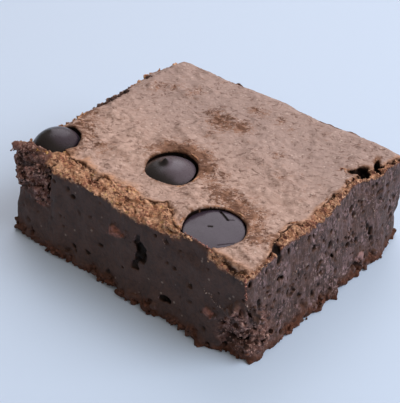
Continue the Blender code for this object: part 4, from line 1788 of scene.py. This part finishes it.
    def _add_lumps(self, block: VoxelBlock, rng: np.random.Generator, uneven: Array) -> None:
        """Cover the broken stretches with crumbs that half stand out, and pits between them."""
        spots = self.sample_walls(rng, 420_000, 0.1, 19.0)
        rough = np.maximum(self.foot_share(*spots.T), self.torn_share(*spots.T))
        below = self.form.top(*spots.T[:2]) - spots[:, 2]
        keep = (rng.random(len(spots)) < 0.45 * rough) & (below > 0.8)
        for spot in spots[keep]:
            size = 0.22 + 0.42 * rng.random() ** 2.4
            radii = size * rng.uniform(0.65, 1.3, 3)
            turn = Euler(rng.uniform(0.0, math.pi, 3)).to_matrix()
            carve = rng.random() < 0.45
            block.blob(spot, radii, turn, 0.2, uneven, carve)

    def _add_clumps(self, block: VoxelBlock, rng: np.random.Generator, uneven: Array) -> None:
        """Hang larger clumps on the foot, mostly along the short cut face and the near corner."""
        for share in (np.arange(self.clump_rows) + 0.5) / self.clump_rows:
            across = self.form.half_width * (2.0 * share - 1.0) + rng.uniform(-0.6, 0.6)
            size = rng.uniform(0.5, 1.15)
            spot = self.form.on_wall(np.array([self.form.half_length, across, rng.uniform(0.5, 1.5)]), -0.35 * size)
            radii = size * rng.uniform(0.8, 1.2, 3) * np.array([0.75, 1.25, 0.8])
            block.blob(spot, radii, Matrix.Identity(3), 0.3, uneven)
        for share in (np.arange(self.clump_rows) + 0.5) / self.clump_rows:
            along = self.form.half_length * (2.0 * share - 1.0) + rng.uniform(-0.6, 0.6)
            size = rng.uniform(0.3, 0.75)
            spot = self.form.on_wall(np.array([along, -self.form.half_width, rng.uniform(0.4, 1.8)]), -0.3 * size)
            radii = size * rng.uniform(0.8, 1.2, 3) * np.array([1.3, 0.8, 0.8])
            block.blob(spot, radii, Matrix.Identity(3), 0.3, uneven)

    def _add_rim_grains(self, block: VoxelBlock, rng: np.random.Generator, uneven: Array) -> None:
        """Cover the bare rims with small grains and pits."""
        for spot in self.sample_rims(rng, 20_000):
            size = 0.16 + 0.26 * rng.random() ** 2.6
            radii = size * rng.uniform(0.7, 1.3, 3) * np.array([1.7, 0.85, 0.6])
            along = 0.0 if abs(spot[1]) > self.form.half_width - 6.0 else 0.5 * math.pi
            turn = Matrix.Rotation(along + rng.uniform(-0.5, 0.5), 3, "Z")
            carve = rng.random() < 0.45
            lowered = spot - np.array([0.0, 0.0, self.rim_drop + (-0.02 if carve else 0.06)])
            block.blob(lowered, radii, turn, 0.12, uneven, carve)

    def _sink_chips(self, block: VoxelBlock) -> None:
        """Open a pocket for each chip, a little wider than the chip."""
        x, y, z = block.open_axes()
        for chip in self.chips:
            across = np.hypot(x - chip.seat[0], y - chip.seat[1]) - (chip.opening(x, y) + 0.12)
            below = chip.seat[2] - chip.depth - 0.3 - z
            in_front = chip.knife_line - 0.12 - y
            pocket = np.maximum(np.maximum(across, below), in_front)
            block.values = soft_max(block.values, -pocket, 0.3)

    def _add_pores(self, block: VoxelBlock, rng: np.random.Generator, uneven: Array) -> None:
        """Prick the cut faces with pores: few on most faces, many on the short cut face."""
        spots = self.sample_walls(rng, 60_000, 1.5, 17.0)
        x, y, z = spots.T
        short_face = (x > self.form.half_length - 2.2) & (np.abs(y) < self.form.half_width - 0.8)
        band = 0.45 + 0.55 * np.exp(-(((z - 10.0) / 4.5) ** 2))
        chance = np.where(short_face, 0.62 * band, 0.16)
        for across, height in self.short_face_pores:
            size = rng.uniform(0.26, 0.42)
            radii = (2.0 * size, size * rng.uniform(0.8, 1.2), size * rng.uniform(1.1, 1.9))
            spot = self.form.on_wall((self.form.half_length, across, height), 0.0)
            block.blob(spot, radii, Matrix.Rotation(rng.uniform(-0.6, 0.2), 3, "X"), 0.1, 2.0 * uneven, carve=True)
        chosen = rng.random(len(spots)) < chance
        for spot, on_short in zip(spots[chosen], short_face[chosen]):
            size = 0.19 + (0.26 if on_short else 0.24) * rng.random() ** 2.8
            tall = rng.uniform(0.9, 2.2) if on_short else rng.uniform(0.8, 1.4)
            wide = rng.uniform(0.8, 1.5)
            turn = Matrix.Rotation(rng.uniform(-0.6, 0.6), 3, "X" if on_short else "Y")
            block.blob(spot, (1.4 * size, wide * size, tall * size), turn, 0.08, uneven, carve=True)

    def _open_crack(self, block: VoxelBlock, crack: Crack, uneven: Array) -> None:
        """Carve a crack as a chain of thin hollows along its mouth."""
        inward = Vector(crack.inward).normalized()
        turn = inward.to_track_quat("Y", "Z").to_matrix()
        for start, end in zip(crack.mouth, crack.mouth[1:]):
            start, end = np.array(start), np.array(end)
            steps = max(2, int(np.linalg.norm(end - start) / (0.7 * crack.width)))
            for share in np.linspace(0.0, 1.0, steps):
                centre = start + share * (end - start)
                radii = (crack.width * 0.62, crack.depth, crack.width * 0.9)
                block.blob(centre, radii, turn, 0.1, uneven, carve=True)

    def _store_marks(self, piece: bpy.types.Object, places: Array) -> None:
        """Store what the finish reads: the rim, the broken crumb, the inclusions and the painted shade of the hollows.
        """
        x, y, z = places.T
        form = self.form
        coarse = LatticeNoise(41, (1.7,) * 3).at(x, y, z)
        fine = LatticeNoise(42, (0.7,) * 3).at(x, y, z)
        margin = self.paper.margin(x, y)
        below = form.top(x, y) - z
        depth = -form.wall_distance(x, y, z)
        jagged = np.clip(0.22 * coarse + 0.20 * fine, -0.45, 0.6) * smooth_step(0.1, 0.45, below)
        shifted = below + jagged - 0.5 * smooth_step(0.2, 0.5, depth)
        low_end = 0.48 - 0.28 * smooth_step(-12.0, -17.0, x) - 0.1 * (x > 26.0)
        rim = (1.0 - smooth_step(low_end, low_end + 0.25, shifted)) * (1.0 - smooth_step(0.9, 1.6, margin))
        bitten = smooth_step(12.3, 13.1, x) * smooth_step(19.2, 18.5, x) * smooth_step(-21.05, -21.25, y)
        rim *= 1.0 - bitten
        rim *= 1.0 - 0.8 * smooth_step(-20.6, -22.2, x) * smooth_step(-19.0, -21.0, y)
        rim *= 1.0 - 0.6 * smooth_step(21.5, 22.8, y)
        foot, torn = self.foot_share(x, y, z), self.torn_share(x, y, z)
        cut = 1.0 - np.maximum(foot, torn)
        # painted shade: darker with depth in pores and holes below the cut faces, along the skin's crack, and in the
        # chip pockets and rim holes
        hollow = np.maximum(0.85 * cut * smooth_step(0.2, 0.5, depth), smooth_step(0.5, 1.1, depth))
        hollow *= smooth_step(0.8, 1.4, below)
        hollow = np.maximum(hollow, 0.9 * self.groove(x, y, margin) * (below < 1.6))
        for chip in self.chips:
            away = np.hypot(x - chip.seat[0], y - chip.seat[1]) - chip.opening(x, y)
            pocket = (1.0 - smooth_step(0.25, 0.6, away)) * smooth_step(0.1, 0.4, below) * (depth > 0.2)
            pocket *= smooth_step(chip.knife_line - 0.5, chip.knife_line - 0.1, y)
            rim *= 1.0 - pocket
            hollow = np.maximum(hollow, pocket)
        for cx, cy, reach, *_ in RIM_HOLES:
            inside = (np.hypot(x - cx, y - cy) < reach + 0.4) & (margin < 0.6) & (depth > 0.35)
            hollow = np.maximum(hollow, inside * smooth_step(0.45, 0.75, below))
            rim *= 1.0 - inside * smooth_step(0.3, 0.6, below)
        mottled = smooth_step(-1.8, 0.4, coarse + 0.6 * fine + 0.5)
        chunk = np.zeros(len(x))
        for inclusion in self.inclusions:
            turn = np.array(Matrix.Rotation(-inclusion.lean, 3, "Y"))
            offset = ((places - np.array(inclusion.centre)) @ turn) / np.array(inclusion.half_sizes)
            away = np.sqrt((offset**2).sum(axis=1)) + 0.14 * coarse + 0.14 * fine
            chunk = np.maximum(chunk, 1.0 - smooth_step(0.8, 1.1, away))
        store_mark(piece, Mark.RIM, rim)
        store_mark(piece, Mark.FOOT, foot * mottled)
        store_mark(piece, Mark.TORN, torn * mottled * (1.0 - rim))
        store_mark(piece, Mark.HOLLOW_SHADE, hollow * (1.0 - chunk))
        store_mark(piece, Mark.CHUNK, chunk)

    def dress(self, piece: bpy.types.Object) -> None:
        """Give the crumb its finish."""
        piece.data.materials.append(CrumbFinish("fudge crumb").make())


# --- loose crumbs ------------------------------------------------------------------------------
@dataclass(frozen=True)
class LooseBits:
    """What every kind of loose bit shares: its sizes, its shape, its finish and its tree's ends."""

    name: str
    smallest: float
    largest: float
    flatness: float
    seed: int
    finish: LooseFinish

    def start(self, numbers: tuple[str, ...]) -> tuple[Any, ...]:
        """Begin a Geometry Nodes tree with named inputs.

        Args:
            numbers: the names of its number inputs, besides Smallest, Largest and Seed.
        Returns:
            The tree, its bench, the group input and the group output.
        """
        tree = bpy.data.node_groups.new(self.name, "GeometryNodeTree")
        tree.interface.new_socket("Geometry", in_out="INPUT", socket_type="NodeSocketGeometry")
        for label in (*numbers, "Smallest", "Largest"):
            tree.interface.new_socket(label, in_out="INPUT", socket_type="NodeSocketFloat")
        tree.interface.new_socket("Seed", in_out="INPUT", socket_type="NodeSocketInt")
        tree.interface.new_socket("Geometry", in_out="OUTPUT", socket_type="NodeSocketGeometry")
        bench = NodeBench(tree)
        return tree, bench, bench.add("NodeGroupInput"), bench.add("NodeGroupOutput")

    def run(self, piece: bpy.types.Object, tree: bpy.types.NodeTree, **numbers: float) -> None:
        """Run a tree on a piece and keep its plain mesh.

        Args:
            piece: the object that the tree reads.
            tree: the tree.
            numbers: its number inputs by name.
        """
        modifier = piece.modifiers.new("bits", "NODES")
        modifier.node_group = tree
        settings = {"Smallest": self.smallest, "Largest": self.largest, "Seed": self.seed, **numbers}
        for item in tree.interface.items_tree:
            if item.in_out == "INPUT" and item.name in settings:
                modifier[item.identifier] = settings[item.name]
        bake_modifiers(piece)

    def _random(self, bench: NodeBench, low: Any, high: Any, step: int, kind: str = "FLOAT") -> Any:
        """A random number or vector for each crumb.

        Args:
            bench: the tree's bench.
            low: the least value.
            high: the greatest value.
            step: keeps this draw apart from the others.
            kind: the value's type.
        Returns:
            The socket.
        """
        node = bench.add("FunctionNodeRandomValue", data_type=kind)
        live = [socket for socket in node.inputs if socket.enabled]
        bench.feed(live[0], low)
        bench.feed(live[1], high)
        bench.feed(node.inputs["Seed"], self.seed + step)
        return next(socket for socket in node.outputs if socket.enabled)

    def _grains(self, bench: NodeBench, given: Any, points: Any, rotation: Any) -> Any:
        """Stand a crumb of its own size, turn and tint on each point.

        Args:
            bench: the tree's bench.
            given: the group's inputs.
            points: the points.
            rotation: the surface's turn at each point.
        Returns:
            The realized crumbs.
        """
        ball = bench.add("GeometryNodeMeshIcoSphere")
        ball.inputs["Radius"].default_value = 1.0
        ball.inputs["Subdivisions"].default_value = 1
        draw = self._random(bench, 0.0, 1.0, 1)
        span = bench.math("SUBTRACT", given.outputs["Largest"], given.outputs["Smallest"])
        size = bench.math("MULTIPLY_ADD", bench.math("POWER", draw, 2.2), span, given.outputs["Smallest"])
        flat = (1.35, 1.35, max(0.2, self.flatness * 1.2))
        shape = self._random(bench, (0.7, 0.7, 0.8 * self.flatness), flat, 2, "FLOAT_VECTOR")
        scale = bench.add("ShaderNodeVectorMath", operation="SCALE")
        bench.feed(scale.inputs[0], shape)
        bench.feed(scale.inputs["Scale"], bench.math("MULTIPLY", size, MM))
        spin = self._random(bench, (-0.5, -0.5, -3.14), (0.5, 0.5, 3.14), 3, "FLOAT_VECTOR")
        turned = bench.add("FunctionNodeRotateRotation", rotation_space="LOCAL")
        bench.feed(turned.inputs[0], rotation)
        bench.feed(turned.inputs[1], spin)
        stand = bench.add("GeometryNodeInstanceOnPoints")
        bench.feed(stand.inputs["Points"], points)
        bench.feed(stand.inputs["Instance"], ball.outputs[0])
        bench.feed(stand.inputs["Rotation"], turned.outputs[0])
        bench.feed(stand.inputs["Scale"], scale.outputs[0])
        tint = bench.add("GeometryNodeStoreNamedAttribute", data_type="FLOAT", domain="INSTANCE")
        bench.feed(tint.inputs["Geometry"], stand.outputs[0])
        tint.inputs["Name"].default_value = Mark.TINT.value
        bench.feed(tint.inputs["Value"], self._random(bench, 0.0, 1.0, 4))
        realized = bench.add("GeometryNodeRealizeInstances")
        bench.feed(realized.inputs[0], tint.outputs[0])
        return realized.outputs[0]

    def _dressed(self, bench: NodeBench, grains: Any) -> Any:
        """Roughen the bits, keep them off the ground and give them their finish.

        Args:
            bench: the tree's bench.
            grains: the realized bits.
        Returns:
            The finished geometry.
        """
        place = bench.add("GeometryNodeInputPosition").outputs[0]
        noise = bench.add("ShaderNodeTexNoise")
        bench.feed(noise.inputs["Vector"], place)
        noise.inputs["Scale"].default_value = 1.0 / (0.42 * MM)
        noise.inputs["Detail"].default_value = 1.0
        centred = bench.vector_math("SUBTRACT", noise.outputs["Color"], (0.5, 0.5, 0.5))
        push = bench.add("ShaderNodeVectorMath", operation="SCALE")
        bench.feed(push.inputs[0], centred)
        push.inputs["Scale"].default_value = (self.smallest + self.largest) * 0.9 * MM
        rough = bench.add("GeometryNodeSetPosition")
        bench.feed(rough.inputs["Geometry"], grains)
        bench.feed(rough.inputs["Offset"], push.outputs[0])
        lifted = bench.vector_math("MAXIMUM", place, (-1.0, -1.0, 0.01 * MM))
        standing = bench.add("GeometryNodeSetPosition")
        bench.feed(standing.inputs["Geometry"], rough.outputs[0])
        bench.feed(standing.inputs["Position"], lifted)
        smooth = bench.add("GeometryNodeSetShadeSmooth")
        bench.feed(smooth.inputs["Geometry"], standing.outputs[0])
        dressed = bench.add("GeometryNodeSetMaterial")
        bench.feed(dressed.inputs["Geometry"], smooth.outputs[0])
        dressed.inputs["Material"].default_value = self.finish.make()
        return dressed.outputs[0]


@dataclass(frozen=True)
class CrumbScatter(LooseBits):
    """Small crumbs that cling to the block where a mark on it is high, laid by Geometry Nodes."""

    mark: Mark
    density: float
    sink: float = 0.0
    threshold: float = 0.45

    def tree(self) -> bpy.types.NodeTree:
        """Build the scatter's node tree.

        Returns:
            The tree, whose inputs are the surface, the density in crumbs for each square
            millimetre, how far they sink in, their sizes in millimetres, and the seed.
        """
        tree, bench, given, result = self.start(("Density", "Sink"))
        named = bench.add("GeometryNodeInputNamedAttribute", data_type="FLOAT")
        named.inputs["Name"].default_value = self.mark.value
        chosen = bench.math("GREATER_THAN", named.outputs["Attribute"], self.threshold)
        points = bench.add("GeometryNodeDistributePointsOnFaces", distribute_method="RANDOM")
        bench.feed(points.inputs["Mesh"], given.outputs["Geometry"])
        per_metre = bench.math("MULTIPLY", given.outputs["Density"], 1.0 / MM**2)
        bench.feed(points.inputs["Density"], bench.math("MULTIPLY", per_metre, chosen))
        bench.feed(points.inputs["Seed"], given.outputs["Seed"])
        sunk = bench.add("GeometryNodeSetPosition")
        bench.feed(sunk.inputs["Geometry"], points.outputs["Points"])
        inward = bench.math("MULTIPLY", given.outputs["Sink"], -MM)
        bench.feed(sunk.inputs["Offset"], bench.scaled(points.outputs["Normal"], inward))
        grains = self._grains(bench, given, sunk.outputs[0], points.outputs["Rotation"])
        bench.feed(result.inputs[0], self._dressed(bench, grains))
        return tree

    def build(self, surface: bpy.types.Object) -> bpy.types.Object:
        """Lay the crumbs on a copy of the surface and keep only the crumbs.

        Args:
            surface: the piece that they cling to.
        Returns:
            The crumbs as one plain mesh.
        """
        piece = bpy.data.objects.new(self.name, surface.data.copy())
        bpy.context.scene.collection.objects.link(piece)
        self.run(piece, self.tree(), Density=self.density, Sink=self.sink)
        return piece


@dataclass(frozen=True)
class FlakeTrail(LooseBits):
    """Flakes strewn along lines on the block, laid by Geometry Nodes."""

    lines: tuple[tuple[Point, ...], ...]
    spacing: float
    spread: Point

    def tree(self) -> bpy.types.NodeTree:
        """Build the trail's node tree.

        Returns:
            The tree, whose inputs are the lines, the spacing, the flakes' sizes and the seed.
        """
        tree, bench, given, result = self.start(("Spacing",))
        curves = bench.add("GeometryNodeMeshToCurve")
        bench.feed(curves.inputs["Mesh"], given.outputs["Geometry"])
        stations = bench.add("GeometryNodeResampleCurve", mode="LENGTH")
        bench.feed(stations.inputs["Curve"], curves.outputs[0])
        bench.feed(stations.inputs["Length"], bench.math("MULTIPLY", given.outputs["Spacing"], MM))
        strewn = bench.add("GeometryNodeSetPosition")
        bench.feed(strewn.inputs["Geometry"], stations.outputs[0])
        far = tuple(value * MM for value in self.spread)
        near = tuple(-value for value in far)
        bench.feed(strewn.inputs["Offset"], self._random(bench, near, far, 5, "FLOAT_VECTOR"))
        grains = self._grains(bench, given, strewn.outputs[0], (0.0, 0.0, 0.0))
        bench.feed(result.inputs[0], self._dressed(bench, grains))
        return tree

    def build(self, place: Place, form: BlockForm) -> bpy.types.Object:
        """Lay the lines on the block and strew the flakes along them.

        Args:
            place: where the block stands in the frame.
            form: the block's form.
        Returns:
            The flakes as one plain mesh.
        """
        points, edges = [], []
        for line in self.lines:
            first = len(points)
            points += [self._laid(form, spot) for spot in line]
            edges += [(k, k + 1) for k in range(first, len(points) - 1)]
        mesh = bpy.data.meshes.new(self.name)
        mesh.from_pydata(place.metres(np.array(points)).tolist(), edges, [])
        piece = bpy.data.objects.new(self.name, mesh)
        bpy.context.scene.collection.objects.link(piece)
        self.run(piece, self.tree(), Spacing=self.spacing)
        return piece

    @staticmethod
    def _laid(form: BlockForm, spot: Point) -> Array:
        """A place moved onto the block: its top where it lies high, else its nearest wall."""
        x, y, z = spot
        if z > form.cut_line:
            return np.array([x, y, float(form.top(x, y)) + 0.05])
        return form.on_wall(spot, 0.02)


# --- studio --------------------------------------------------------------------------------------
@dataclass(frozen=True)
class Softbox:
    """A large soft lamp that looks at the block."""

    name: str
    azimuth: float
    elevation: float
    distance: float
    size: float
    radiance: float
    colour: Colour
    mirrored: bool = True

    def build(self, target: Vector) -> None:
        """Hang the lamp.

        Args:
            target: what it looks at.
        """
        lamp = bpy.data.lights.new(self.name, "AREA")
        lamp.shape = "SQUARE"
        lamp.size = self.size
        lamp.energy = self.radiance * math.pi * self.size**2
        lamp.color = self.colour
        holder = bpy.data.objects.new(self.name, lamp)
        azimuth, elevation = math.radians(self.azimuth), math.radians(self.elevation)
        toward = Vector((math.sin(azimuth) * math.cos(elevation), -math.cos(azimuth) * math.cos(elevation),
                         math.sin(elevation)))
        holder.location = target + toward * self.distance
        holder.rotation_mode = "QUATERNION"
        holder.rotation_quaternion = toward.to_track_quat("Z", "Y")
        holder.visible_camera = False
        holder.visible_glossy = self.mirrored
        bpy.context.scene.collection.objects.link(holder)


@dataclass(frozen=True)
class Studio:
    """The pale floor, the soft light and the camera."""

    lamps: tuple[Softbox, ...]
    floor_colour: Colour = (0.600, 0.735, 0.915)
    sky_colour: Colour = (1.0, 0.88, 0.77)
    sky_strength: float = 0.52
    dim_share: float = 0.24
    bright_side: Point = (0.34, 0.44, 0.83)
    floor_size: float = 4.0
    camera_azimuth: float = 41.376
    camera_elevation: float = 37.111
    camera_distance: float = 213.592
    camera_right: float = -1.647
    camera_up: float = -1.551
    aim_height: float = 9.5
    lens: float = 98.26

    def build(self, place: Place) -> None:
        """Set everything up round the block.

        Args:
            place: where the block stands in the frame.
        """
        self._floor()
        self._sky()
        target = Vector((0.0, 0.0, self.aim_height * MM))
        for lamp in self.lamps:
            lamp.build(target)
        self._camera(place)
        bpy.context.scene.view_settings.view_transform = "Standard"

    def _floor(self) -> None:
        """Lay the floor."""
        half = 0.5 * self.floor_size
        corners = np.array([(-half, -half, 0.0), (half, -half, 0.0), (half, half, 0.0), (-half, half, 0.0)])
        floor = make_mesh_object("floor", corners, np.array([[0, 1, 2, 3]]))
        material = bpy.data.materials.new("floor")
        material.use_nodes = True
        shader = material.node_tree.nodes["Principled BSDF"]
        shader.inputs["Base Color"].default_value = (*self.floor_colour, 1.0)
        shader.inputs["Roughness"].default_value = 0.45
        floor.data.materials.append(material)

    def _sky(self) -> None:
        """Light the room softly from all round."""
        world = bpy.data.worlds.new("room")
        world.use_nodes = True
        backdrop = world.node_tree.nodes["Background"]
        bench = NodeBench(world.node_tree)
        facing = bench.dot(bench.add("ShaderNodeTexCoord").outputs["Generated"], self.bright_side)
        dim = scaled_colour(self.sky_colour, self.dim_share)
        bench.feed(backdrop.inputs["Color"], bench.mix(bench.ease(facing, -0.5, 0.9), dim, self.sky_colour))
        backdrop.inputs["Strength"].default_value = self.sky_strength
        bpy.context.scene.world = world

    def _camera(self, place: Place) -> None:
        """Stand the camera over the near corner."""
        azimuth, elevation = math.radians(self.camera_azimuth), math.radians(self.camera_elevation)
        back = Vector((math.sin(azimuth) * math.cos(elevation), -math.cos(azimuth) * math.cos(elevation),
                       math.sin(elevation)))
        right = (-back).cross(Vector((0.0, 0.0, 1.0))).normalized()
        up = right.cross(-back)
        spot = Vector((*place.shift, self.aim_height)) + back * self.camera_distance
        spot += right * self.camera_right + up * self.camera_up
        lens = bpy.data.cameras.new("camera")
        lens.sensor_width = 36.0
        lens.lens = self.lens
        lens.clip_start = 0.001
        camera = bpy.data.objects.new("camera", lens)
        camera.location = spot * MM
        camera.rotation_mode = "QUATERNION"
        camera.rotation_quaternion = back.to_track_quat("Z", "Y")
        bpy.context.scene.collection.objects.link(camera)
        bpy.context.scene.camera = camera


# --- this brownie ----------------------------------------------------------------------------------
SATIN = ChocolateFinish("satin chocolate", roughness=0.26, bloom_and_highlight_share=0.50)
# the domed chip's lighter, upward-facing top is mostly painted highlight
DOMED = ChocolateFinish("domed chocolate", bloom_and_highlight=(0.112, 0.088, 0.108), roughness=0.24, bloom_and_highlight_share=0.9)
# the flat chip's lighter face is partly painted sheen
BLOOMED_AND_SHEENED = ChocolateFinish("bloomed chocolate with painted sheen", roughness=0.22, bloom_and_highlight_share=0.7)
CHIPS = (
    ChocolateChip("chip_left", (-25.2, -16.0, 18.15), (3.0, -8.0), 4.7, 2.9, 0.15, 2.6, SATIN,
                  gap=0.4, gap_bearing=40.0, lip=0.65, lip_bearing=-80.0, dome_power=0.75),
    ChocolateChip("chip_centre", (-1.95, -9.05, 18.55), (1.0, -2.0), 5.1, 2.1, 0.85, 2.6, DOMED,
                  gap=0.5, gap_bearing=70.0, lip=0.75, lip_bearing=-105.0, dome_power=0.85,
                  nub_shift=(-0.5, 0.1)),
    ChocolateChip("chip_front", (15.7, -16.75, 18.65), (0.5, 0.5), 5.55, 0.35, 0.0, 2.2, BLOOMED_AND_SHEENED,
                  gap=0.17, gap_bearing=75.0, lip=0.05, lip_bearing=-50.0, knife_line=-21.0,
                  segments=256, face_rows=110,
                  grooves=(Groove((-2.6, 4.7), (0.14, 3.55)), Groove((0.14, 3.55), (1.0, 4.3), 0.1, 0.1),
                           Groove((-1.16, -0.05), (-0.66, 0.3), 0.17, 0.16),
                           Groove((3.3, -2.8), (5.0, -0.5), 0.1, 0.08))),
)

LAMPS = (
    Softbox("window", azimuth=118.0, elevation=41.0, distance=0.75, size=0.55, radiance=4.8,
            colour=(0.92, 0.94, 1.0), mirrored=False),
    Softbox("backlight", azimuth=222.0, elevation=40.0, distance=0.95, size=0.8, radiance=1.35,
            colour=(0.92, 0.90, 1.0)),
)


SCATTERS = (
    CrumbScatter("foot_crumbs", 0.10, 0.42, 0.8, 71, mark=Mark.FOOT, density=0.9, sink=0.06,
                 finish=LooseFinish("foot crumbs", (0.050, 0.020, 0.014), (0.165, 0.068, 0.044))),
    CrumbScatter("torn_crumbs", 0.08, 0.28, 0.7, 73, mark=Mark.TORN, density=3.0, sink=0.04,
                 finish=LooseFinish("torn crumbs", (0.110, 0.050, 0.042), (0.480, 0.300, 0.250))),
    CrumbScatter("rim_grains", 0.06, 0.18, 0.55, 72, mark=Mark.RIM, density=4.0,
                 finish=LooseFinish("rim grains", (0.220, 0.092, 0.045), (0.680, 0.420, 0.250))),
)

TRAILS = (
    FlakeTrail("pale_flakes", 0.05, 0.17, 0.6, 81, spacing=0.2, spread=(0.16, 0.16, 0.22),
               finish=LooseFinish("pale flakes", (0.240, 0.150, 0.120), (0.560, 0.440, 0.380)),
               lines=(((19.2, -24.6, 11.5), (20.6, -24.6, 11.0), (22.0, -24.6, 10.0), (23.7, -24.6, 9.6)),
                      ((29.4, 14.4, 16.4), (29.4, 14.2, 13.6), (29.4, 14.7, 9.8)),
                      ((29.4, -9.9, 11.2), (29.4, -8.2, 12.0), (29.4, -7.2, 12.6)),
                      ((28.9, -22.7, 12.9), (29.4, -22.0, 11.2), (29.6, -21.3, 9.6), (29.6, -20.7, 8.2)),
                      ((25.0, -23.5, 11.4), (26.0, -23.5, 10.2), (26.6, -23.5, 8.9)),
                      ((8.6, -24.4, 16.9), (9.4, -24.4, 16.2), (9.9, -24.4, 15.2)))),
    FlakeTrail("edge_flakes", 0.05, 0.17, 0.6, 84, spacing=0.09, spread=(0.16, 0.16, 0.12),
               finish=LooseFinish("edge flakes", (0.220, 0.070, 0.062), (0.520, 0.250, 0.190)),
               lines=(((27.9, -22.25, 17.8), (28.1, -22.4, 15.6), (28.3, -22.6, 13.4)),
                      ((12.9, -21.25, 18.75), (15.6, -21.25, 18.8), (18.2, -21.3, 18.8), (19.2, -21.5, 18.7)))),
    FlakeTrail("hanging_crumbs", 0.10, 0.30, 0.7, 85, spacing=0.07, spread=(0.3, 0.10, 0.34),
               finish=LooseFinish("hanging crumbs", (0.150, 0.062, 0.036), (0.660, 0.390, 0.230)),
               lines=(((9.2, -21.6, 18.2), (11.0, -21.6, 18.2), (12.8, -21.6, 18.15), (14.6, -21.6, 18.2)),
                      ((19.4, -21.6, 18.2), (20.6, -21.6, 18.2)))),
    FlakeTrail("dark_bits", 0.14, 0.5, 0.7, 82, spacing=0.3, spread=(0.35, 0.2, 0.14),
               finish=LooseFinish("dark bits", (0.020, 0.010, 0.009), (0.110, 0.060, 0.048)),
               lines=(((-28.2, -2.4, 19.0), (-27.9, 2.7, 19.0), (-27.5, 7.4, 19.0)),
                      ((-27.6, -1.0, 19.1), (-27.4, 2.4, 19.2), (-27.1, 6.0, 19.2)),
                      ((-27.6, 11.9, 19.0), (-27.2, 13.2, 19.0)),
                      ((-28.9, -22.2, 19.0), (-28.4, -21.4, 19.0)))),
    FlakeTrail("golden_bits", 0.10, 0.36, 0.7, 83, spacing=0.24, spread=(0.4, 0.35, 0.1),
               finish=LooseFinish("golden bits", (0.230, 0.085, 0.020), (0.620, 0.360, 0.130)),
               lines=(((-27.7, 8.4, 19.0), (-27.4, 9.8, 19.0)),
                      ((-24.6, -21.3, 19.0), (-23.4, -20.9, 19.0), (-22.2, -20.5, 19.0)))),
)


def settle(piece: bpy.types.Object, slot: Slot, *nodes: str) -> None:
    """Fix a finished piece to the frame and report it.

    Args:
        piece: the finished piece.
        slot: the material slot that its finish comes from; not used.
        nodes: the frame's nodes that it stands for.
    """
    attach(piece, BODY)
    if nodes:
        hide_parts(*nodes)
    triangles = sum(len(face.vertices) - 2 for face in piece.data.polygons)
    log.info("%s: %d triangles", piece.name, triangles)


def main() -> None:
    """Build the brownie and its studio."""
    logging.basicConfig(level=logging.INFO, format="%(message)s")
    form = BlockForm()
    centre = CHIPS[1]
    place = Place.from_frame(centre.name, centre.seat)
    Studio(LAMPS).build(place)
    for chip in CHIPS:
        piece = chip.build(place)
        chip.dress(piece)
        settle(piece, Slot.CHIP, chip.name)
    paper = PaperCrust(form, CHIPS)
    skin = paper.build(place)
    paper.dress(skin)
    settle(skin, Slot.CRUST)
    crumb = CrumbBody(form, paper, CHIPS)
    body = crumb.build(place)
    crumb.dress(body)
    settle(body, Slot.CRUMB, "crumb_block")
    for scatter in SCATTERS:
        settle(scatter.build(body), Slot.CRUMB)
    for trail in TRAILS:
        settle(trail.build(place, form), Slot.CRUMB)


if __name__ == "__main__":
    main()
